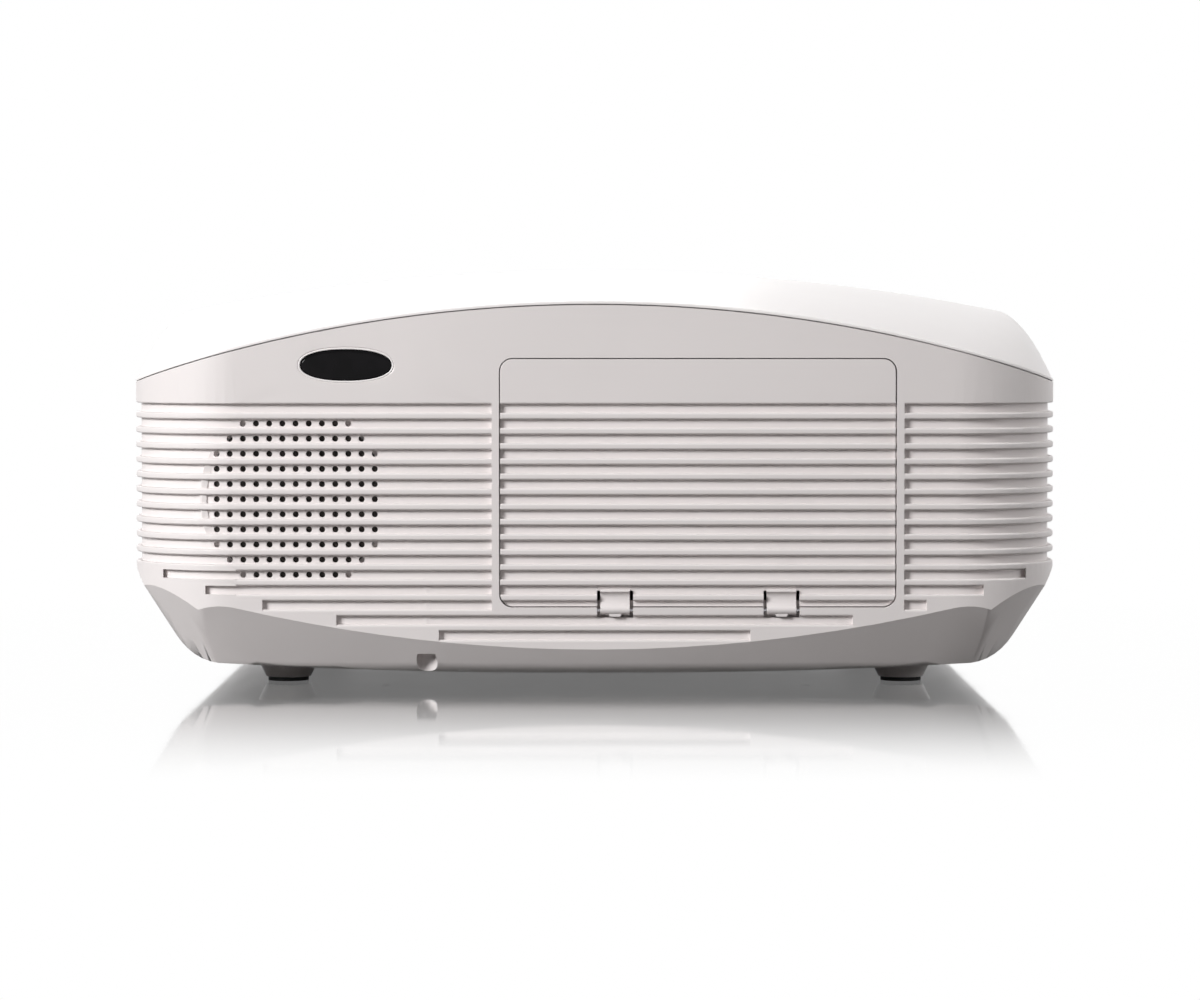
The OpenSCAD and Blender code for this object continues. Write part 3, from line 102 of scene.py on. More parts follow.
class Link:
    """A value on its way through a material, with arithmetic on it."""

    def __init__(self, graph: "Graph", socket: bpy.types.NodeSocket) -> None:
        """Wraps an output socket of a graph."""
        self.graph = graph
        self.socket = socket

    def _maths(self, operation: str, *values: "Link | float", clamp: bool = False) -> "Link":
        """Adds a Math node to the graph."""
        sockets = dict(enumerate(values))
        return self.graph.node("Math", {"operation": operation, "use_clamp": clamp}, sockets)

    def __add__(self, other: "Link | float") -> "Link":
        """Sum."""
        return self._maths("ADD", self, other)

    __radd__ = __add__

    def __sub__(self, other: "Link | float") -> "Link":
        """Difference."""
        return self._maths("SUBTRACT", self, other)

    def __rsub__(self, other: float) -> "Link":
        """Difference from a number."""
        return self._maths("SUBTRACT", other, self)

    def __mul__(self, other: "Link | float") -> "Link":
        """Product."""
        return self._maths("MULTIPLY", self, other)

    __rmul__ = __mul__

    def clamped(self) -> "Link":
        """The same value kept between 0 and 1."""
        return self._maths("ADD", self, 0.0, clamp=True)

    def band(self, low: float, high: float) -> "Link":
        """0 below low, 1 above high and smooth between them."""
        settings = {"interpolation_type": "SMOOTHSTEP"}
        return self.graph.node("MapRange", settings, {"Value": self, "From Min": low, "From Max": high})


class Graph:
    """The nodes of one material or of the world."""

    def __init__(self, name: str, tree: bpy.types.NodeTree | None = None,
                 kind: str = "Material") -> None:
        """Takes a node tree, or makes an empty material with one, and adds the output node.

        Args:
            name: Name of the material.
            tree: A tree to fill instead, such as the world's.
            kind: What the tree shades, Material or World.
        """
        if tree is None:
            self.material = bpy.data.materials.new(name)
            self.material.use_nodes = True
            tree = self.material.node_tree
        self.tree = tree
        self.tree.nodes.clear()
        self.output = self.tree.nodes.new("ShaderNodeOutput" + kind)

    def node(self, kind: str, settings: dict | None = None, sockets: dict | None = None,
             out: int | str = 0) -> Link:
        """Adds any node.

        Args:
            kind: The node's type without its ShaderNode prefix.
            settings: Properties that are set first, such as an operation.
            sockets: Numbers, colours or links for the inputs, by name or index.
            out: The output that is wanted.

        Returns:
            That output as a link.
        """
        made = self.tree.nodes.new("ShaderNode" + kind)
        for key, value in (settings or {}).items():
            setattr(made, key, value)
        for key, value in (sockets or {}).items():
            if isinstance(value, Link):
                self.tree.links.new(value.socket, made.inputs[key])
            else:
                made.inputs[key].default_value = value
        return Link(self, made.outputs[out])

    def place(self) -> Link:
        """Object coordinates."""
        return self.node("TexCoord", out="Object")

    def noise(self, size: float, detail: float = 2.0, stretch: Point = (1, 1, 1)) -> Link:
        """Noise whose grains are about so many millimetres across, drawn out along an axis."""
        scaled = self.node("Mapping", None, {"Vector": self.place(), "Scale": stretch})
        return self.node("TexNoise", None, {"Vector": scaled, "Scale": 1000 / size, "Detail": detail})

    def blend(self, share: Link, first: "Link | Colour", second: "Link | Colour") -> Link:
        """A colour between two colours."""
        ends = [c if isinstance(c, Link) else (*c, 1.0) for c in (first, second)]
        return self.node("Mix", {"data_type": "RGBA"}, {0: share, 6: ends[0], 7: ends[1]}, out=2)

    def bump(self, height: Link, depth: float, strength: float = 1.0) -> Link:
        """A normal from a height, whose full depth is in millimetres."""
        sockets = {"Height": height, "Distance": depth / 1000, "Strength": strength}
        return self.node("Bump", None, sockets)

    def between(self, share: Link, first: Link, second: Link) -> Link:
        """A shader between two shaders."""
        return self.node("MixShader", None, {0: share, 1: first, 2: second})

    def seen_by(self, *rays: str) -> Link:
        """1 for the named kinds of ray and 0 for the others."""
        found = [self.node("LightPath", out=f"Is {ray} Ray") for ray in rays]
        return sum(found[1:], found[0]).clamped()

    def end(self, shader: Link) -> None:
        """Leads a shader to the output."""
        self.tree.links.new(shader.socket, self.output.inputs["Surface"])

    def surface(self, **sockets: "Link | float | Colour") -> bpy.types.Material:
        """Ends the material in a Principled shader.

        Args:
            sockets: Its inputs, with underscores for the spaces.

        Returns:
            The finished material.
        """
        values = {}
        for key, value in sockets.items():
            colour = isinstance(value, tuple) and len(value) == 3
            values[key.replace("_", " ")] = (*value, 1.0) if colour else value
        self.end(self.node("BsdfPrincipled", None, values))
        return self.material


# ---- finishes ----


class Slot(Enum):
    """Material slots of the part's record."""

    HOUSING = "housing_white"
    COVER = "cover_white"
    WINDOW = "black_gloss"
    BOARD = "circuit_board"
    POWER_BOARD = "power_board"
    RUBBER = "rubber"
    BLACK = "black_plastic"
    DARK = "dark_plastic"
    GREY = "grey_plastic"
    LIGHT = "light_plastic"
    BUTTON = "button_grey"
    LED = "led_lens"
    STEEL = "steel"
    SHEET = "sheet_steel"
    BRASS = "brass"
    ALUMINIUM = "aluminium"
    CLEAR = "clear_glass"
    LENS = "lens_glass"
    PAPER = "paper_cone"


@dataclass(frozen=True)
class Moulded:
    """Moulded plastic with a spark-eroded grain."""

    colour: Colour
    roughness: float = 0.42
    grain: float = 0.45
    depth: float = 0.012
    tone: float = 0.02
    wear: float = 0.06
    sheen: float = 0.45
    cloud: float = 60
    patch: float = 9

    def material(self, name: str) -> bpy.types.Material:
        """Makes the material.

        Args:
            name: Its name.

        Returns:
            The material.
        """
        graph = Graph(name)
        cloud = graph.noise(self.cloud, 3)
        grain = graph.noise(self.grain, 2)
        dark = tuple(c * (1 - 2 * self.tone) for c in self.colour)
        base = graph.blend(cloud.band(0.35, 0.65), dark, self.colour)
        patches = graph.noise(self.patch, 3).band(0.3, 0.7)
        rough = patches * self.wear + (self.roughness - self.wear / 2)
        normal = graph.bump(grain, self.depth, 0.6)
        return graph.surface(Base_Color=base, Roughness=rough, Normal=normal,
                             Specular_IOR_Level=self.sheen)


@dataclass(frozen=True)
class Smoked:
    """Polished smoked plastic, almost black."""

    colour: Colour
    smear: float = 9
    roughness: float = 0.05
    wear: float = 0.05
    sheen: float = 0.12
    deep: float = 0.4

    def material(self, name: str) -> bpy.types.Material:
        """Makes the material.

        Args:
            name: Its name.

        Returns:
            The material.
        """
        graph = Graph(name)
        haze = graph.noise(self.smear, 4)
        deep = tuple(c * self.deep for c in self.colour)
        base = graph.blend(haze.band(0.3, 0.7), deep, self.colour)
        rough = haze.band(0.45, 0.75) * self.wear + self.roughness
        return graph.surface(Base_Color=base, Roughness=rough, Specular_IOR_Level=self.sheen)


@dataclass(frozen=True)
class Rubber:
    """Matt rubber with a dusty bloom."""

    colour: Colour
    dust: float = 0.03
    dust_size: float = 3
    grain: float = 0.3
    depth: float = 0.05
    roughness: float = 0.78
    wear: float = 0.15
    sheen: float = 0.3

    def material(self, name: str) -> bpy.types.Material:
        """Makes the material.

        Args:
            name: Its name.

        Returns:
            The material.
        """
        graph = Graph(name)
        bloom = graph.noise(self.dust_size, 5)
        pale = tuple(c + self.dust for c in self.colour)
        base = graph.blend(bloom.band(0.4, 0.75), self.colour, pale)
        normal = graph.bump(graph.noise(self.grain, 3), self.depth)
        rough = bloom.band(0.3, 0.7) * self.wear + self.roughness
        return graph.surface(Base_Color=base, Roughness=rough, Normal=normal,
                             Specular_IOR_Level=self.sheen)


@dataclass(frozen=True)
class Metal:
    """Bare or plated metal, brushed along one axis."""

    colour: Colour
    roughness: float = 0.3
    stretch: Point = (1, 0.04, 1)
    line: float = 0.25
    stain: float = 14
    dull: float = 0.82
    depth: float = 0.01

    def material(self, name: str) -> bpy.types.Material:
        """Makes the material.

        Args:
            name: Its name.

        Returns:
            The material.
        """
        graph = Graph(name)
        lines = graph.noise(self.line, 3, self.stretch)
        stain = graph.noise(self.stain, 4)
        dull = tuple(c * self.dull for c in self.colour)
        base = graph.blend(stain.band(0.35, 0.7), self.colour, dull)
        rough = lines * 0.16 + stain.band(0.4, 0.7) * 0.08 + (self.roughness - 0.1)
        normal = graph.bump(lines, self.depth, 0.5)
        return graph.surface(Base_Color=base, Roughness=rough, Metallic=1.0, Normal=normal)


@dataclass(frozen=True)
class Laminate:
    """A circuit board with tracks under its lacquer."""

    colour: Colour
    track: Colour
    gap: float = 2.4
    line: float = 0.02
    depth: float = 0.04
    roughness: float = 0.32
    coat: float = 0.3

    def material(self, name: str) -> bpy.types.Material:
        """Makes the material.

        Args:
            name: Its name.

        Returns:
            The material.
        """
        graph = Graph(name)
        place = graph.place()
        cells = {"Vector": place, "Scale": 1000 / self.gap}
        squares = graph.node("TexVoronoi", {"distance": "MANHATTAN", "feature": "F1"}, cells)
        black, white = (0, 0, 0, 1), (1, 1, 1, 1)
        bricks = graph.node("TexBrick", {"offset": 0.5}, {
            "Vector": place, "Scale": 400 / self.gap, "Mortar Size": self.line,
            "Color1": black, "Color2": black, "Mortar": white})
        copper = (bricks + squares.band(0.08, 0.05)).clamped()
        base = graph.blend(copper, self.colour, self.track)
        rough = graph.noise(2, 3) * 0.1 + self.roughness
        normal = graph.bump(copper, self.depth, 0.6)
        return graph.surface(Base_Color=base, Roughness=rough, Normal=normal, Coat_Weight=self.coat)


@dataclass(frozen=True)
class Glass:
    """Clear or coated optical glass."""

    tint: Colour
    bloom: Colour
    smear: float = 40
    wear: float = 0.008
    clear: float = 0.92
    index: float = 1.5
    sheen: float = 0.12

    def material(self, name: str) -> bpy.types.Material:
        """Makes the material.

        Args:
            name: Its name.

        Returns:
            The material.
        """
        graph = Graph(name)
        facing = graph.node("LayerWeight", None, {"Blend": 0.35}, out="Facing")
        base = graph.blend(facing.band(0.1, 0.9), self.tint, self.bloom)
        rough = graph.noise(self.smear, 1).band(0.5, 0.9) * self.wear
        return graph.surface(Base_Color=base, Roughness=rough, Transmission_Weight=self.clear,
                             IOR=self.index, Specular_IOR_Level=self.sheen)


@dataclass(frozen=True)
class Paper:
    """Pressed paper of a loudspeaker's cone."""

    colour: Colour
    fibre: float = 1.2
    light: float = 1.8
    depth: float = 0.08
    roughness: float = 0.85

    def material(self, name: str) -> bpy.types.Material:
        """Makes the material.

        Args:
            name: Its name.

        Returns:
            The material.
        """
        graph = Graph(name)
        fibre = graph.noise(self.fibre, 5, (1, 3, 1))
        light = tuple(c * self.light for c in self.colour)
        base = graph.blend(fibre.band(0.35, 0.7), self.colour, light)
        rough = fibre * 0.1 + self.roughness
        return graph.surface(Base_Color=base, Roughness=rough, Normal=graph.bump(fibre, self.depth))


WHITE = Moulded(srgb(231, 225, 224), roughness=0.4, grain=0.8, depth=0.006, tone=0.012)
FINISHES = {
    Slot.HOUSING: WHITE,
    # Painted light: the cover's white is lighter than the housing's to stand for the extra light its
    # top gets from above, though both are taken as one plastic.
    Slot.COVER: Moulded(srgb(240, 236, 235), roughness=0.31, grain=2.5, depth=0.001, tone=0.006,
                        wear=0.03, sheen=0.35),
    Slot.WINDOW: Smoked(srgb(14, 12, 15)),
    Slot.BOARD: Laminate(srgb(16, 74, 40), srgb(34, 112, 62)),
    Slot.POWER_BOARD: Laminate(srgb(150, 116, 62), srgb(176, 142, 84), gap=4),
    Slot.RUBBER: Rubber(srgb(34, 34, 35)),
    Slot.BLACK: Moulded(srgb(28, 28, 30), roughness=0.5, grain=0.6, depth=0.02, tone=0.04),
    Slot.DARK: Moulded(srgb(58, 58, 61), roughness=0.45, tone=0.03),
    Slot.GREY: Moulded(srgb(150, 149, 150), roughness=0.4, tone=0.02),
    Slot.LIGHT: Moulded(srgb(226, 223, 214), roughness=0.35, depth=0.004),
    Slot.BUTTON: Moulded(srgb(138, 138, 139), roughness=0.38, tone=0.02),
    Slot.LED: Glass((0.5, 0.95, 0.55), (0.3, 0.8, 0.4)),
    Slot.STEEL: Metal(srgb(176, 176, 179), roughness=0.38),
    Slot.SHEET: Metal(srgb(166, 168, 170), roughness=0.4, stretch=(0.06, 1, 1)),
    Slot.BRASS: Metal(srgb(206, 172, 104), roughness=0.38),
    Slot.ALUMINIUM: Metal(srgb(190, 192, 194), roughness=0.42),
    Slot.CLEAR: Glass((0.96, 0.98, 0.98), (0.8, 0.9, 0.92)),
    Slot.LENS: Glass((0.62, 0.66, 0.8), (0.3, 0.22, 0.62)),
    Slot.PAPER: Paper(srgb(52, 50, 48)),
}


class Paintbox:
    """The materials of the record's slots, each made when it is first needed."""

    def __init__(self) -> None:
        """Starts with no material."""
        self.made: dict[Slot, bpy.types.Material] = {}
        record = frame["record"]
        self.slot_of = {part["node"]: Slot(part["material_slot"]) for part in record["subparts"]}
        self.body_of = {node: body for body, nodes in record["behaviour"]["bodies"].items()
                        for node in nodes}

    def get(self, slot: Slot) -> bpy.types.Material:
        """Gives the material of a slot.

        Args:
            slot: The slot of the part's record.

        Returns:
            The material, made on the first call.
        """
        if slot not in self.made:
            self.made[slot] = FINISHES[slot].material(slot.value)
        return self.made[slot]


PAINT = Paintbox()


# ---- the bench ----


class Pick(Enum):
    """What a selection holds."""

    VERTS = "VERT"
    EDGES = "EDGE"
    FACES = "FACE"


def middle(part: bmesh.types.BMFace | bmesh.types.BMEdge | bmesh.types.BMVert) -> Vector:
    """Finds the middle of a piece of a mesh.

    Args:
        part: A vertex, an edge or a face.

    Returns:
        Its middle, in millimetres.
    """
    if isinstance(part, bmesh.types.BMVert):
        return part.co * 1000
    return sum((v.co for v in part.verts), Vector()) / len(part.verts) * 1000


class Workpiece:
    """A mesh on the bench, shaped by operators. Its lengths are millimetres."""

    def __init__(self, name: str, obj: bpy.types.Object) -> None:
        """Takes an object and gives it a name.

        Args:
            name: Name for the object and its mesh.
            obj: The object.
        """
        self.obj = obj
        obj.name = name
        obj.data.name = name

    # -- starts --

    @staticmethod
    def clear() -> None:
        """Deselects everything, in object mode."""
        if bpy.context.object and bpy.context.object.mode != "OBJECT":
            bpy.ops.object.mode_set(mode="OBJECT")
        bpy.ops.object.select_all(action="DESELECT")

    @classmethod
    def block(cls, name: str, low: Point, high: Point) -> "Workpiece":
        """Makes a block.

        Args:
            name: Name of the piece.
            low: Its lowest corner.
            high: Its highest corner.

        Returns:
            The block, in object mode.
        """
        cls.clear()
        size = [h - l for l, h in zip(low, high)]
        centre = [(h + l) / 2 for l, h in zip(low, high)]
        bpy.ops.mesh.primitive_cube_add(size=1, location=mm(*centre), scale=mm(*size))
        bpy.ops.object.transform_apply(location=True, rotation=True, scale=True)
        return cls(name, bpy.context.object)

    @classmethod
    def ring(cls, name: str, points: Sequence[Point]) -> "Workpiece":
        """Makes a closed wire.

        Args:
            name: Name of the piece.
            points: The points that it runs through.

        Returns:
            The wire, in edit mode and selected.
        """
        cls.clear()
        bpy.ops.mesh.primitive_circle_add(vertices=len(points), radius=1)
        piece = cls(name, bpy.context.object)
        bpy.ops.object.mode_set(mode="EDIT")
        piece._set_points(range(len(points)), points)
        bpy.ops.mesh.select_all(action="SELECT")
        return piece

    @classmethod
    def slab(cls, name: str, points: Sequence[Point], step: Point) -> "Workpiece":
        """Thickens a flat outline.

        Args:
            name: Name of the piece.
            points: The outline.
            step: How far and which way it is drawn out.

        Returns:
            The solid, in object mode.
        """
        piece = cls.ring(name, points)
        bpy.ops.mesh.edge_face_add()
        bpy.ops.mesh.extrude_region_move(TRANSFORM_OT_translate={"value": mm(*step)})
        return piece.closed()

    @classmethod
    def loft(cls, name: str, rings: Sequence[Sequence[Point]]) -> "Workpiece":
        """Draws a skin over closed rings.

        Args:
            name: Name of the piece.
            rings: The rings in order, each with as many points as the first.

        Returns:
            The skin, open at both ends and in edit mode.
        """
        piece = cls.ring(name, rings[0])
        loop = list(range(len(rings[0])))
        for points in rings[1:]:
            bpy.ops.mesh.extrude_edges_move()
            mesh = bmesh.from_edit_mesh(piece.obj.data)
            mesh.verts.ensure_lookup_table()
            loop = [next(e.other_vert(mesh.verts[i]).index for e in mesh.verts[i].link_edges
                         if e.other_vert(mesh.verts[i]).select) for i in loop]
            piece._set_points(loop, points)
        return piece

    @classmethod
    def spun(cls, name: str, profile: Sequence[Flat], axis_at: Flat, steps: int = 96) -> "Workpiece":
        """A closed profile turned about an axis along Y.

        Args:
            name: Name of the piece.
            profile: Points as (radius, y).
            axis_at: Place of the axis as (x, z).
            steps: Number of facets round.

        Returns:
            The solid, in object mode.
        """
        x, z = axis_at
        piece = cls.ring(name, [(x + r, y, z) for r, y in profile])
        bpy.ops.mesh.spin(steps=steps, angle=math.tau, center=mm(x, 0, z), axis=(0, 1, 0))
        return piece.closed()

    @classmethod
    def from_node(cls, name: str, node: str) -> "Workpiece":
        """Copies a CAD node for shaping further.

        Args:
            name: Name of the piece.
            node: The node that is copied.

        Returns:
            The copy with its doubles merged, in object mode.
        """
        cls.clear()
        source = frame["nodes"][node]
        obj = source.copy()
        obj.data = source.data.copy()
        for key in [k for k in obj.keys() if k.startswith("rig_")]:
            del obj[key]
        obj.parent = None
        bpy.context.scene.collection.objects.link(obj)
        obj.hide_render = False
        obj.data.materials.clear()
        piece = cls(name, obj)
        piece.take()
        if obj.data.has_custom_normals:
            bpy.ops.mesh.customdata_custom_splitnormals_clear()
        piece.edit_all()
        bpy.ops.mesh.remove_doubles(threshold=MERGE)
        bpy.ops.mesh.mark_sharp(clear=True)
        bpy.ops.object.mode_set(mode="OBJECT")
        return piece

    # -- selecting --

    def take(self) -> None:
        """Selects only this object, in object mode."""
        self.clear()
        self.obj.select_set(True)
        bpy.context.view_layer.objects.active = self.obj

    def edit(self) -> None:
        """Opens the mesh in edit mode."""
        self.take()
        bpy.ops.object.mode_set(mode="EDIT")

    def edit_all(self) -> None:
        """Opens the mesh in edit mode with everything selected."""
        self.edit()
        bpy.ops.mesh.select_all(action="SELECT")

    def pick(self, kind: Pick, test: Callable[[object], bool]) -> int:
        """Selects the parts of the mesh that pass a test, in edit mode.

        Args:
            kind: What is tested.
            test: Says of a part whether it is wanted.

        Returns:
            How many were selected.
        """
        bpy.ops.mesh.select_all(action="DESELECT")
        bpy.ops.mesh.select_mode(type=kind.value)
        mesh = bmesh.from_edit_mesh(self.obj.data)
        mesh.normal_update()
        parts = {Pick.VERTS: mesh.verts, Pick.EDGES: mesh.edges, Pick.FACES: mesh.faces}[kind]
        wanted = [part for part in parts if test(part)]
        for part in wanted:
            part.select_set(True)
        bmesh.update_edit_mesh(self.obj.data)
        return len(wanted)

    def _set_points(self, order: Iterable[int], points: Sequence[Point]) -> None:
        """Puts vertices at points, in edit mode.

        Args:
            order: Numbers of the vertices.
            points: Where each of them goes.
        """
        mesh = bmesh.from_edit_mesh(self.obj.data)
        mesh.verts.ensure_lookup_table()
        for index, point in zip(order, points):
            mesh.verts[index].co = mm(*point)
        bmesh.update_edit_mesh(self.obj.data)

    # -- shaping --

    def go(self, step: Point) -> None:
        """Draws the selected loop out along a step."""
        bpy.ops.mesh.extrude_edges_move(TRANSFORM_OT_translate={"value": mm(*step)})

    def turn(self, centre: Flat, degrees: float, steps: int) -> None:
        """Draws the selected loop round an upright axis, to the left for positive degrees."""
        bpy.ops.mesh.spin(steps=steps, angle=-math.radians(degrees), center=mm(*centre, 0),
                          axis=(0, 0, 1))

    def closed(self) -> "Workpiece":
        """Merges what meets, fills the open ends and turns faces outwards.

        Returns:
            The same piece, in object mode.
        """
        bpy.ops.mesh.select_mode(type="VERT")
        bpy.ops.mesh.select_all(action="SELECT")
        bpy.ops.mesh.remove_doubles(threshold=MERGE)
        bpy.ops.mesh.fill_holes(sides=0)
        bpy.ops.mesh.select_all(action="SELECT")
        bpy.ops.mesh.normals_make_consistent(inside=False)
        bpy.ops.object.mode_set(mode="OBJECT")
        return self

    def round_edges(self, test: Callable[[bmesh.types.BMEdge], bool], width: float,
                    steps: int = 3) -> None:
        """Rounds the edges that pass a test.

        Args:
            test: Says of an edge whether it is rounded.
            width: Width of the rounding.
            steps: Number of facets across it.
        """
        self.edit()
        if self.pick(Pick.EDGES, test):
            bpy.ops.mesh.bevel(offset=width / 1000, segments=steps, profile=0.5, affect="EDGES",
                               clamp_overlap=True)
        bpy.ops.object.mode_set(mode="OBJECT")

    def soften(self, width: float, steps: int = 2, angle: float = 35) -> None:
        """Rounds every sharp edge with a Bevel modifier.

        Args:
            width: Width of the rounding.
            steps: Number of facets across it.
            angle: Edges sharper than this are rounded, in degrees.
        """
        self.take()
        bevel = self.obj.modifiers.new("soften", "BEVEL")
        bevel.width = width / 1000
        bevel.segments = steps
        bevel.limit_method = "ANGLE"
        bevel.angle_limit = math.radians(angle)
        bevel.use_clamp_overlap = True
        bpy.ops.object.modifier_apply(modifier=bevel.name)

    def tidy_faces(self) -> None:
        """Joins flat neighbouring triangles."""
        self.edit_all()
        bpy.ops.mesh.dissolve_limited(angle_limit=COPLANAR)
        bpy.ops.object.mode_set(mode="OBJECT")

    def cut(self, tool: "Workpiece") -> None:
        """Cuts another piece out of this one with a Boolean modifier.

        Args:
            tool: The other piece, which is used up.
        """
        self.take()
        change = self.obj.modifiers.new("cut", "BOOLEAN")
        change.operation = "DIFFERENCE"
        change.object = tool.obj
        change.solver = "EXACT"
        bpy.ops.object.modifier_apply(modifier=change.name)
        bpy.data.objects.remove(tool.obj)

    def join(self, *others: "Workpiece") -> None:
        """Takes other pieces into this one's mesh.

        Args:
            others: The pieces, which are used up.
        """
        self.take()
        for other in others:
            other.obj.select_set(True)
        bpy.ops.object.join()

    def finish(self, body: str, slot: Slot, stands_for: Sequence[str] = (), angle: float = 32,
               flowing: Callable[[bmesh.types.BMEdge], bool] | None = None) -> None:
        """Dresses the piece and lets it ride.

        Args:
            body: The CAD body that it moves with.
            slot: The record's slot of its finish.
            stands_for: CAD nodes that it replaces.
            angle: Edges sharper than this stay sharp, in degrees.
            flowing: Says of an edge whether the shading runs over it at any angle.
        """
        self.take()
        bpy.ops.object.shade_smooth_by_angle(angle=math.radians(angle))
        if flowing:
            self.edit()
            self.pick(Pick.EDGES, flowing)
            bpy.ops.mesh.mark_sharp(clear=True)
            bpy.ops.object.mode_set(mode="OBJECT")
        even = self.obj.modifiers.new("even", "WEIGHTED_NORMAL")
        even.keep_sharp = True
        bpy.ops.object.modifier_apply(modifier=even.name)
        self.obj.data.materials.clear()
        self.obj.data.materials.append(PAINT.get(slot))
        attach(self.obj, body)
        if stands_for:
            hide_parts(*stands_for)
        LOG.info("%s: %d faces, rides on %s", self.obj.name, len(self.obj.data.polygons), body)


# ---- the body ----


@dataclass
class Body:
    """Outline of the body that the housing, the cover and the door share."""

    half_w: float = 170
    half_d: float = 137.5
    corner: float = 40
    parting_h: float = 138.7
    parting_r: float = 522
    gap: float = 0.4
    lip: float = 1.2
    crown_h: float = 12.3
    crown_bow: float = 0.00036

    def parting(self, x: float) -> float:
        """Height of the parting line at x."""
        return self.parting_h - self.parting_r + math.sqrt(self.parting_r ** 2 - x * x)

    def crown(self, x: float) -> float:
        """Rise of the cover above its lip at x, where the crown line passes."""
        return self.crown_h + self.crown_bow * x * x


@dataclass
class Ribs:
    """Grooves round the body, whose lands have rounded noses."""

    body: Body
    top: float = 102.8
    pitch: float = 5.49
    height: float = 3.15
    depth: float = 2.0
    nose: float = 0.8
    nose_steps: int = 5
    overshoot: float = 0.015
    reach: tuple[float, ...] = (157.5, 141.3, 120.5, 93.7, 56.5)
    full: int = 11
    door_left: float = -37.3
    door_right: float = 112.3
    last_beside_door: int = 13
    corner_steps: int = 22

    def lower_edge(self, number: int) -> float:
        """Height of a groove's lower edge."""
        return self.top - number * self.pitch - self.height

    def section(self, number: int, deep: bool) -> list[Flat]:
        """A flared groove as points of (distance out of the face, height).

        Args:
            number: The groove, counted from the top.
            deep: Whether the section holds the groove itself and not only its flare.

        Returns:
            The closed outline.
        """
        low = self.lower_edge(number)
        high = low + self.height
        back = self.overshoot - self.nose
        upper = arc((back, high + self.nose - self.overshoot), self.nose, 0, -90, self.nose_steps)
        lower = arc((back, low - self.nose + self.overshoot), self.nose, 90, 0, self.nose_steps)
        floor = [(-self.depth, high), (-self.depth, low)] if deep else []
        outside = [(1.0, lower[-1][1]), (1.0, upper[0][1])]
        return upper + floor + lower + outside

    def start(self, number: int, x: float, deep: bool = False) -> Workpiece:
        """The section standing on the back face at x."""
        points = [(x, -self.body.half_d - out, z) for out, z in self.section(number, deep)]
        return Workpiece.ring(f"groove_{number}", points)

    def swing(self, past: float) -> float:
        """Degrees of a corner that reach so far past its start."""
        return math.degrees(math.asin(past / self.body.corner))

    def round_the_body(self, number: int) -> Workpiece:
        """Draws a groove from the door's right side round the body to its left side.

        Args:
            number: The groove, counted from the top.

        Returns:
            The flares of the groove as a solid.
        """
        tool = self.start(number, self.door_right)
        x, y = self.body.half_w - self.body.corner, self.body.half_d - self.body.corner
        tool.go((x - self.door_right, 0, 0))
        for centre, step in (((x, -y), (0, 2 * y, 0)), ((x, y), (-2 * x, 0, 0)),
                             ((-x, y), (0, -2 * y, 0)), ((-x, -y), (x + self.door_left, 0, 0))):
            tool.turn(centre, 90, self.corner_steps)
            tool.go(step)
        return tool.closed()

    def along_an_end(self, number: int, front: bool, left: float, right: float) -> Workpiece:
        """Draws a groove along the back or the front, round a corner if it reaches one.

        Args:
            number: The groove, counted from the top.
            front: Whether it is turned round to the front.
            left: Where it starts, seen from behind.
            right: Where it ends.

        Returns:
            The flares of the groove as a solid.
        """
        x, y = self.body.half_w - self.body.corner, self.body.half_d - self.body.corner
        begin = max(left, -x)
        steps = self.corner_steps // 2
        tool = self.start(number, begin)
        tool.go((min(right, x) - begin, 0, 0))
        if right > x:
            tool.turn((x, -y), self.swing(right - x), steps)
        if left < -x:
            tool.pick(Pick.VERTS, lambda v: abs(middle(v).x + x) < TOUCH)
            tool.turn((-x, -y), -self.swing(-x - left), steps)
        tool.closed()
        if front:
            tool.edit_all()
            bpy.ops.transform.rotate(value=math.pi, orient_axis="Z", center_override=(0, 0, 0))
            bpy.ops.object.mode_set(mode="OBJECT")
        return tool

    def tools(self) -> Workpiece:
        """Draws every groove's flares.

        Returns:
            All of them as one mesh.
        """
        made = [self.round_the_body(n) for n in range(self.full)]
        for n, reach in enumerate(self.reach, self.full):
            made.append(self.along_an_end(n, True, -reach, reach))
            if n <= self.last_beside_door:
                made.append(self.along_an_end(n, False, -reach, self.door_left))
                made.append(self.along_an_end(n, False, self.door_right, reach))
            else:
                made.append(self.along_an_end(n, False, -reach, reach))
        made[0].join(*made[1:])
        return made[0]


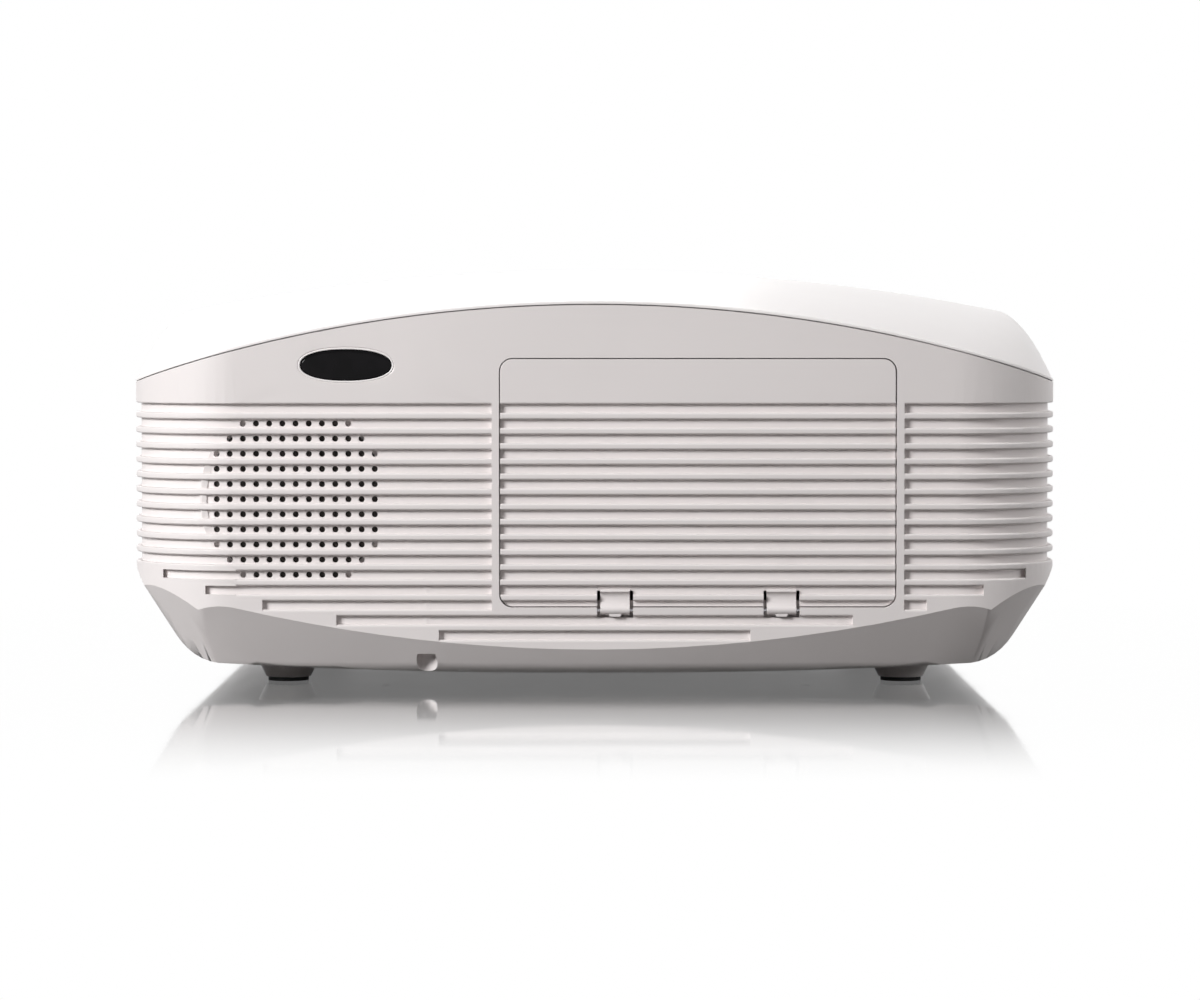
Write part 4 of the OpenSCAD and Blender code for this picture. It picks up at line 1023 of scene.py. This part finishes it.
@dataclass
class Housing:
    """The ribbed tub with its boat-shaped hull."""

    ribs: Ribs
    window: "ReceiverWindow"
    door: "Door"
    lens_at: Flat = (-86, 70)
    lens_clear: float = 44.5
    lens_reach: float = 6
    lens_steps: int = 64
    rim: float = 0.55
    hull_top: float = 50
    hull_lean: float = -0.3
    slot_low: float = 25.2
    slot_high: float = 26.7
    slot_deep: float = 2.9
    hull_fold: float = math.radians(48)

    def on_rim(self, edge: bmesh.types.BMEdge) -> bool:
        """Finds the mouth of the window's opening.

        Args:
            edge: An edge of the housing.

        Returns:
            Whether it lies round that mouth.
        """
        for vert in edge.verts:
            at = middle(vert)
            x, z = at.x - self.window.centre[0], at.z - self.window.centre[1]
            half_x, half_z = [size / 2 + 1 for size in self.window.size]
            off_face = abs(at.y - self.window.face) > TOUCH
            if off_face or abs(x) > half_x or abs(z) > half_z:
                return False
        return True

    def on_hull(self, edge: bmesh.types.BMEdge) -> bool:
        """Whether an edge is a soft fold between two faces of the hull."""
        return (middle(edge).z < self.hull_top and len(edge.link_faces) == 2
                and edge.calc_face_angle() < self.hull_fold
                and all(face.normal.z < self.hull_lean for face in edge.link_faces))

    def build(self) -> None:
        """Rounds the noses of the ribs and the window's rim on the housing."""
        shell = Workpiece.from_node("housing_shell", "lower_housing")
        tools = self.ribs.tools()
        half_d = self.ribs.body.half_d
        near, far = half_d - self.lens_reach, half_d + self.lens_reach
        profile = [(0, near), (self.lens_clear, near), (self.lens_clear, far), (0, far)]
        tools.cut(Workpiece.spun("lens_keep", profile, self.lens_at, self.lens_steps))
        shell.cut(tools)
        for left, right in self.door.notches():
            low = (left, -half_d - 1, self.slot_low)
            high = (right, -half_d + self.slot_deep, self.slot_high)
            shell.cut(Workpiece.block("hinge_slot", low, high))
        shell.round_edges(self.on_rim, self.rim)
        shell.finish("housing", Slot.HOUSING, ["lower_housing"], angle=28, flowing=self.on_hull)


@dataclass
class Cover:
    """The crowned top shell."""

    body: Body
    wall: float = 2.5
    edge: float = 0.7
    shoulder: float = 13
    side_bow: float = 0.8
    steps: int = 40
    crowding: float = 1.4
    inside_every: int = 3
    seam: float = 2e-6
    keypad: Flat = (102, 24)
    keypad_y: float = 62
    keypad_fit: float = 0.4
    keypad_below: float = 8
    keypad_above: float = 20
    corner_points: int = 14
    long_points: int = 30
    short_points: int = 16
    edge_steps: int = 4

    def ring(self, half_x: float, half_y: float, radius: float, bow: float,
             height: Callable[[float], float]) -> list[Point]:
        """One closed ring of the shell.

        Args:
            half_x: Half of its width.
            half_y: Half of its depth.
            radius: Radius of its corners.
            bow: How far its short sides bow out.
            height: Gives the height at x.

        Returns:
            Its points, counterclockwise from the middle of the right side.
        """
        quarter: list[Flat] = []
        straight = half_y - radius
        for i in range(self.short_points):
            share = i / self.short_points
            quarter.append((half_x + bow * (1 - share * share), straight * share))
        quarter += arc((half_x - radius, half_y - radius), radius, 0, 90, self.corner_points)
        for i in range(1, self.long_points):
            quarter.append(((half_x - radius) * (1 - i / self.long_points), half_y))
        left = [(-x, y) for x, y in reversed(quarter[1:])]
        upper = quarter + [(0.0, half_y)] + left + [(-quarter[0][0], 0.0)]
        lower = [(x, -y) for x, y in reversed(upper[1:-1])]
        return [(x, y, height(x)) for x, y in upper + lower]

    def lip(self, inset: float, rise: float) -> list[Point]:
        """Gives a ring of the upright lip.

        Args:
            inset: How far it lies in from the outside.
            rise: Its height above the parting line.

        Returns:
            Its points.
        """
        body = self.body
        return self.ring(body.half_w - inset, body.half_d - inset, body.corner - inset, 0,
                         lambda x: body.parting(x) + rise)

    def shell(self, share: float, sink: float, inset: float) -> list[Point]:
        """Gives a ring of the crown.

        Args:
            share: Its share of the way from the edge to the ridge.
            sink: How far it lies under the outside.
            inset: How far the crown starts in from the lip.

        Returns:
            Its points.
        """
        body = self.body
        left = 1 - share
        half_x = body.half_w - inset - sink - (self.shoulder - inset) * share
        half_y = (body.half_d - inset - sink) * left
        radius = (body.corner - inset - sink) * left
        rise = 1 - left * left
        lift = body.gap + body.lip - sink
        return self.ring(half_x, half_y, radius, self.side_bow * share,
                         lambda x: body.parting(x) + lift + body.crown(x) * rise)

    def build(self) -> None:
        """Lofts the shell and cuts the keypad's window."""
        body = self.body
        shares = [1 - (1 - i / self.steps) ** self.crowding for i in range(self.steps + 1)]
        inside = [self.shell(s, self.wall, 0) for s in reversed(shares[::self.inside_every])]
        edge = []
        for i in range(self.edge_steps):
            angle = math.radians(90 * i / self.edge_steps)
            drop = self.edge * (1 - math.sin(angle))
            edge.append(self.lip(self.edge * (1 - math.cos(angle)), body.gap + body.lip - drop))
        outside = [self.shell(s, 0, self.edge) for s in shares]
        rings = [*inside, self.lip(self.wall, body.gap), self.lip(0, body.gap), *edge, *outside]
        shell = Workpiece.loft("cover_shell", rings)
        bpy.ops.mesh.select_all(action="SELECT")
        bpy.ops.mesh.remove_doubles(threshold=self.seam)
        bpy.ops.mesh.dissolve_degenerate(threshold=MERGE)
        shell.closed()
        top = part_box("keypad_panel")[1].z * 1000
        half_x, half_y = [size / 2 + self.keypad_fit for size in self.keypad]
        shell.cut(Workpiece.block("keypad_window",
                                  (-half_x, self.keypad_y - half_y, top - self.keypad_below),
                                  (half_x, self.keypad_y + half_y, top + self.keypad_above)))
        shell.finish("housing", Slot.COVER, ["top_cover"], angle=30)


@dataclass
class Door:
    """The drop-down door in front of the disc tray.

    The hinge axis is given as (y, z), and the heel and the scoop of an arm from that axis.
    """

    ribs: Ribs
    left: float = -34.2
    right: float = 109.1
    bottom: float = 29.4
    top: float = 119.1
    corner: float = 4.5
    corner_steps: int = 8
    thick: float = 4.5
    rim: float = 0.3
    last_groove: int = 13
    knuckles: tuple[float, float] = (2.1, 62.5)
    knuckle_w: float = 10.7
    notch_top: float = 35.1
    notch_over: float = 1.2
    axis: Flat = (-136.6, 28.1)
    barrel: float = 1.6
    arm_back: float = 3.2
    arm_front: float = 0.4
    arm_over: float = 0.4
    arm_heel: tuple[Flat, Flat] = ((1.2, 0.6), (3.2, 1.6))
    arm_edge: float = 0.15
    scoop_at: Flat = (-1.5, 4.2)
    scoop_r: float = 2.6
    tab_w: float = 4.2
    tab_drop: float = 0.75
    tab_round: float = 0.5
    tab_root: float = 1.0
    tab_front: float = 0.9
    tab_thick: float = 1.6

    def notches(self) -> list[Flat]:
        """Left and right end of the notch over each knuckle."""
        over = self.notch_over
        return [(x - over, x + self.knuckle_w + over) for x in self.knuckles]

    def outline(self) -> list[Flat]:
        """Runs round the door's rounded corners.

        Returns:
            The outline as (x, z).
        """
        r = self.corner
        right, left, top, bottom = self.right - r, self.left + r, self.top - r, self.bottom + r
        corners = [(right, top), (left, top), (left, bottom), (right, bottom)]
        return [point for i, corner in enumerate(corners)
                for point in arc(corner, r, 90 * i, 90 * (i + 1), self.corner_steps)]

    def panel(self) -> Workpiece:
        """Cuts the ribbed panel with a notch over each knuckle.

        Returns:
            The panel, in object mode.
        """
        face = -self.ribs.body.half_d
        outline = [(x, face, z) for x, z in self.outline()]
        panel = Workpiece.slab("drop_door", outline, (0, self.thick, 0))
        panel.round_edges(lambda e: all(abs(middle(v).y - face) < TOUCH for v in e.verts), self.rim)
        grooves = []
        for n in range(self.last_groove + 1):
            groove = self.ribs.start(n, self.left - 1, deep=True)
            groove.go((self.right - self.left + 2, 0, 0))
            grooves.append(groove.closed())
        grooves[0].join(*grooves[1:])
        panel.cut(grooves[0])
        for left, right in self.notches():
            panel.cut(Workpiece.block("notch", (left, face - 1, self.bottom - 1),
                                      (right, face + self.thick + 1, self.notch_top)))
        return panel

    def arm(self, x: float) -> Workpiece:
        """Models a scooped hinge arm with its barrel and locating tab.

        Args:
            x: Its left end.

        Returns:
            The arm, in object mode.
        """
        y, z = self.axis
        over = self.notch_top + self.arm_over
        scoop = arc((y + self.scoop_at[0], z + self.scoop_at[1]), self.scoop_r, 72, -58, 12)
        barrel = arc((y, z), self.barrel, 118, 300, 16)
        heel = [(y + back, z + up) for back, up in self.arm_heel]
        section = [(y + self.arm_back, over), (y - self.arm_front, over), *scoop, *barrel, *heel]
        arm = Workpiece.slab("hinge_arm", [(x, py, pz) for py, pz in section], (self.knuckle_w, 0, 0))
        arm.soften(self.arm_edge, angle=50)
        r = self.tab_round
        low = z - self.barrel - self.tab_drop + r
        root = z - self.tab_root
        left, right = [x + self.knuckle_w / 2 + side * self.tab_w / 2 for side in (-1, 1)]
        tab = [(left - r, root), *arc((left + r, low), r, 180, 270, 4),
               *arc((right - r, low), r, 270, 360, 4), (right + r, root)]
        front = [(tx, y - self.tab_front, tz) for tx, tz in tab]
        arm.join(Workpiece.slab("hinge_tab", front, (0, self.tab_thick, 0)))
        return arm

    def build(self) -> None:
        """Makes the panel and joins both arms to it."""
        panel = self.panel()
        panel.join(*[self.arm(x) for x in self.knuckles])
        panel.finish("door", Slot.HOUSING, ["disc_door"], angle=28)


@dataclass
class ReceiverWindow:
    """The glossy oval window of the remote receiver.

    The lens profile is given as (behind the face, in from the oval's edge).
    """

    centre: Flat = (-90, 116.9)
    size: Flat = (34, 12.1)
    face: float = -137.5
    power: float = 2.25
    points: int = 72
    # Width, sink and facets of the pale ring that paints the highlight round the opening.
    highlight_width: float = 0.38
    highlight_sink: float = 0.02
    highlight_steps: int = 12
    profile: tuple[Flat, ...] = (
        (5.2, 3.2), (5.2, -1.8), (4.0, -1.8), (4.0, 0.15), (1.2, 0.15), (0.8, 0.4),
        (0.55, 0.75), (0.6, 1.0), (0.42, 1.3), (0.3, 2.4), (0.25, 4.2))

    def oval(self, y: float, inset: float) -> list[Point]:
        """Gives a ring of the oval.

        Args:
            y: Where it lies.
            inset: How far it lies in from the oval's edge.

        Returns:
            Its points.
        """
        half = [s / 2 - inset for s in self.size]
        ring = []
        for i in range(self.points):
            angle = math.tau * i / self.points
            x, z = math.cos(angle), math.sin(angle)
            ring.append((self.centre[0] + half[0] * math.copysign(abs(x) ** (2 / self.power), x), y,
                         self.centre[1] + half[1] * math.copysign(abs(z) ** (2 / self.power), z)))
        return ring

    def bezel(self) -> None:
        """Lofts a thin pale ring round the lens, a painted highlight that stands for the lit edge of
        the opening.
        """
        rings = [self.oval(self.face + back + self.highlight_sink, -out)
                 for out, back in arc((0.0, self.highlight_width), self.highlight_width, 0, 360, self.highlight_steps)]
        ring = Workpiece.loft("window_bezel", rings)
        ring.closed()
        ring.finish("housing", Slot.COVER, angle=60)

    def build(self) -> None:
        """Lofts a slightly crowned lens with a flange behind the wall."""
        # The pale ring is a painted highlight along the edge of the window's opening.
        self.bezel()
        rings = [self.oval(self.face + back, inset) for back, inset in self.profile]
        lens = Workpiece.loft("receiver_window", rings)
        lens.closed()
        lens.finish("housing", Slot.WINDOW, ["ir_window"], angle=40)


@dataclass
class GrilleShadeCloth:
    """Dark cloth stretched between the grille and the speaker, whose dark colour is painted shade that
    keeps the grille's holes dark.
    """

    at: Flat = (-108.4, 68.6)
    radius: float = 32.2
    front: float = -133.45
    thick: float = 0.3
    dish: float = 0.12
    slack: float = 0.6
    hem: float = 1
    roll: float = 0.1

    def build(self) -> None:
        """Spins the cloth with its rolled hem."""
        front, back = self.front, self.front + self.thick
        inner, hem = self.radius * self.slack, self.radius - self.hem
        sag = self.dish * self.slack
        profile = [(0, front + self.dish), (inner, front + sag), (hem, front),
                   (self.radius, front + self.roll), (self.radius, back), (hem, back),
                   (inner, back + sag), (0, back + self.dish)]
        cloth = Workpiece.spun("grille_cloth", profile, self.at)
        # The dark paper finish is painted shade seen through the grille's holes.
        cloth.finish("housing", Slot.PAPER, angle=50)


@dataclass
class Buttons:
    """The keypad's buttons, dished for a fingertip."""

    names: tuple[str, ...] = ("power", "source", "menu", "ok", "play", "stop", "eject")
    rim: float = 0.9
    dish: float = 0.35
    drops: tuple[float, ...] = (0.5, 0.35, 0.15)
    lift: float = 0.12
    edge: float = 0.3

    def build(self) -> None:
        """Dishes each button's top and keeps its flange off the switch below."""
        for name in self.names:
            node = f"{name}_button"
            cap = Workpiece.from_node(f"{name}_key", node)
            cap.tidy_faces()
            low, high = [corner.z * 1000 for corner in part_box(node)]
            cap.edit()
            cap.pick(Pick.VERTS, lambda v: middle(v).z < low + TOUCH)
            bpy.ops.transform.translate(value=mm(0, 0, self.lift))
            cap.pick(Pick.FACES, lambda f: f.normal.z > 0.9 and middle(f).z > high - TOUCH)
            for share in self.drops:
                bpy.ops.mesh.inset(thickness=self.rim / 1000, depth=-self.dish * share / 1000)
            bpy.ops.object.mode_set(mode="OBJECT")
            cap.soften(self.edge, steps=3, angle=50)
            cap.finish(PAINT.body_of[node], PAINT.slot_of[node], [node], angle=40)


# ---- carried-over nodes ----


@dataclass
class Fittings:
    """Nodes whose shape is kept and whose edges and surface are finished."""

    done: set[str]
    edge: float = 0.15
    crisp: tuple[str, ...] = ("main_board", "power_board", "ir_receiver_board", "keypad_board",
                              "fresnel_lenses", "condenser_lens", "lcd_panel", "loader_belt",
                              "optical_tunnel", "door_hinge_pins", "lens_glass")

    def build(self) -> None:
        """Dresses every node that no other class stands for."""
        for node, body in sorted(PAINT.body_of.items()):
            if node in self.done:
                continue
            piece = Workpiece.from_node(f"{node}_finished", node)
            piece.tidy_faces()
            if node not in self.crisp:
                piece.soften(self.edge, angle=40)
            piece.finish(body, PAINT.slot_of[node], [node], angle=35)


# ---- camera, floor and lamps ----


@dataclass
class View:
    """The photograph's view: low, nearly level, from behind the disc door.

    The sensor is given in millimetres and the reach in metres.
    """

    distance: float = 1550
    face: float = -137.5
    height: float = 130.7
    pixels_per_mm: float = 2.763
    image_w: float = 1200
    image_h: float = 1000
    middle_px: float = 594.5
    horizon_px: float = 327
    sensor: float = 36
    reach: float = 50

    def build(self) -> None:
        """Makes the camera."""
        focal_px = self.pixels_per_mm * self.distance
        tilt = math.atan((self.image_h / 2 - self.horizon_px) / focal_px)
        data = bpy.data.cameras.new("camera")
        data.sensor_width = self.sensor
        data.lens = focal_px * self.sensor / self.image_w
        data.clip_end = self.reach
        camera = bpy.data.objects.new("camera", data)
        across = (self.image_w / 2 - self.middle_px) / self.pixels_per_mm
        camera.location = mm(across, self.face - self.distance, self.height)
        camera.rotation_euler = (math.radians(90) - tilt, 0, 0)
        bpy.context.scene.collection.objects.link(camera)
        bpy.context.scene.camera = camera


@dataclass(frozen=True)
class Softbox:
    """A square lamp aimed at a point of the object, with its power in watts."""

    name: str
    at: Point
    power: float
    size: float
    aim: Point = (0, 0, 70)

    def build(self) -> None:
        """Makes the lamp."""
        data = bpy.data.lights.new(self.name, "AREA")
        data.energy = self.power
        data.size = self.size / 1000
        lamp = bpy.data.objects.new(self.name, data)
        lamp.location = mm(*self.at)
        lamp.rotation_mode = "QUATERNION"
        lamp.rotation_quaternion = (mm(*self.aim) - mm(*self.at)).to_track_quat("-Z", "Y")
        bpy.context.scene.collection.objects.link(lamp)


@dataclass
class Studio:
    """A white sweep with soft lamps."""

    body: Body
    lamps: tuple[Softbox, ...] = (
        Softbox("key", (-1100, -1080, 700), 26.5, 500),
        Softbox("top", (900, -100, 1300), 7.5, 900),
        Softbox("front_fill", (-300, 1250, 1000), 14, 900),
        Softbox("side_fill", (1500, -500, 500), 6, 700))
    floor_size: float = 12000
    floor_cells: int = 8
    floor_wear: Flat = (0.04, 0.03)
    level: Flat = (0.4, 0.85)
    glow: Colour = (1, 0.985, 0.97)
    shade: Colour = (0.05, 0.048, 0.046)
    mirror: Colour = (0.98, 0.98, 0.98)
    haze: float = 0.12
    fade: Flat = (30, 330)
    ambient: float = 0.115
    horizon: Flat = (0.22, 0.6)
    ceiling: Colour = (0.45, 0.45, 0.46)

    def floor(self) -> None:
        """A glossy floor that fades to white away from the object."""
        Workpiece.clear()
        bpy.ops.mesh.primitive_grid_add(x_subdivisions=self.floor_cells,
                                        y_subdivisions=self.floor_cells,
                                        size=self.floor_size / 1000)
        floor = Workpiece("floor", bpy.context.object)
        graph = Graph("floor")
        folded = graph.node("VectorMath", {"operation": "ABSOLUTE"}, {0: graph.place()})
        base = (self.body.half_w / 1000, self.body.half_d / 1000, 0)
        past = graph.node("VectorMath", {"operation": "SUBTRACT"}, {0: folded, 1: base})
        outside = graph.node("VectorMath", {"operation": "MAXIMUM"}, {0: past, 1: (0, 0, 0)})
        away = graph.node("VectorMath", {"operation": "LENGTH"}, {0: outside}, out="Value")
        wear = graph.noise(40, 3).band(0.3, 0.8) * self.floor_wear[1] + self.floor_wear[0]
        polished = graph.node("BsdfPrincipled", None, {
            "Base Color": (*self.mirror, 1), "Metallic": 1.0, "Roughness": wear})
        pale = graph.node("BsdfDiffuse", None, {"Color": (*self.mirror, 1)})
        level = graph.node("LayerWeight", None, {"Blend": 0.5}, out="Facing").band(*self.level)
        ground = graph.between(level, pale, polished)
        white = graph.node("Emission", None, {"Color": (1, 1, 1, 1), "Strength": 1.0})
        faded = away.band(self.fade[0] / 1000, self.fade[1] / 1000) * (1 - self.haze) + self.haze
        shown = graph.between(faded, ground, white)
        dull = graph.node("BsdfDiffuse", None, {"Color": (*self.shade, 1)})
        above = graph.between(graph.seen_by("Camera", "Glossy", "Transmission"), dull, shown)
        below = graph.node("NewGeometry", out="Backfacing")
        graph.end(graph.between(below, above, graph.node("BsdfTransparent")))
        floor.obj.data.materials.append(graph.material)

    def world(self) -> None:
        """Soft light from all round, white to the camera and darker overhead in reflections."""
        world = bpy.data.worlds.new("studio")
        world.use_nodes = True
        bpy.context.scene.world = world
        graph = Graph("studio", world.node_tree, "World")
        place = graph.node("TexCoord", out="Generated")
        height = graph.node("SeparateXYZ", None, {0: place}, out="Z")
        overhead = height.band(*self.horizon)
        ceiling = graph.blend(overhead, (1.0, 1.0, 1.0), self.ceiling)
        dim = graph.node("Background", None, {"Color": (*self.glow, 1), "Strength": self.ambient})
        mirrored = graph.node("Background", None, {"Color": ceiling, "Strength": 1.0})
        white = graph.node("Background", None, {"Color": (1, 1, 1, 1), "Strength": 1.0})
        glossy = graph.between(graph.seen_by("Glossy"), dim, mirrored)
        graph.end(graph.between(graph.seen_by("Camera", "Transmission"), glossy, white))

    def build(self) -> None:
        """Sets the floor, the world and the lamps."""
        self.floor()
        self.world()
        for lamp in self.lamps:
            lamp.build()
        bpy.context.scene.view_settings.view_transform = "Standard"


def main() -> None:
    """Builds the camera, the studio and the pieces in order."""
    logging.basicConfig(level=logging.INFO, format="%(name)s %(message)s", stream=sys.stdout)
    View().build()
    body = Body()
    Studio(body).build()
    ribs = Ribs(body)
    window = ReceiverWindow()
    door = Door(ribs)
    Housing(ribs, window, door).build()
    Cover(body).build()
    door.build()
    window.build()
    GrilleShadeCloth().build()
    buttons = Buttons()
    buttons.build()
    done = {"lower_housing", "top_cover", "disc_door", "ir_window"}
    Fittings(done | {f"{name}_button" for name in buttons.names}).build()
    Workpiece.clear()


if __name__ == "__main__":
    main()
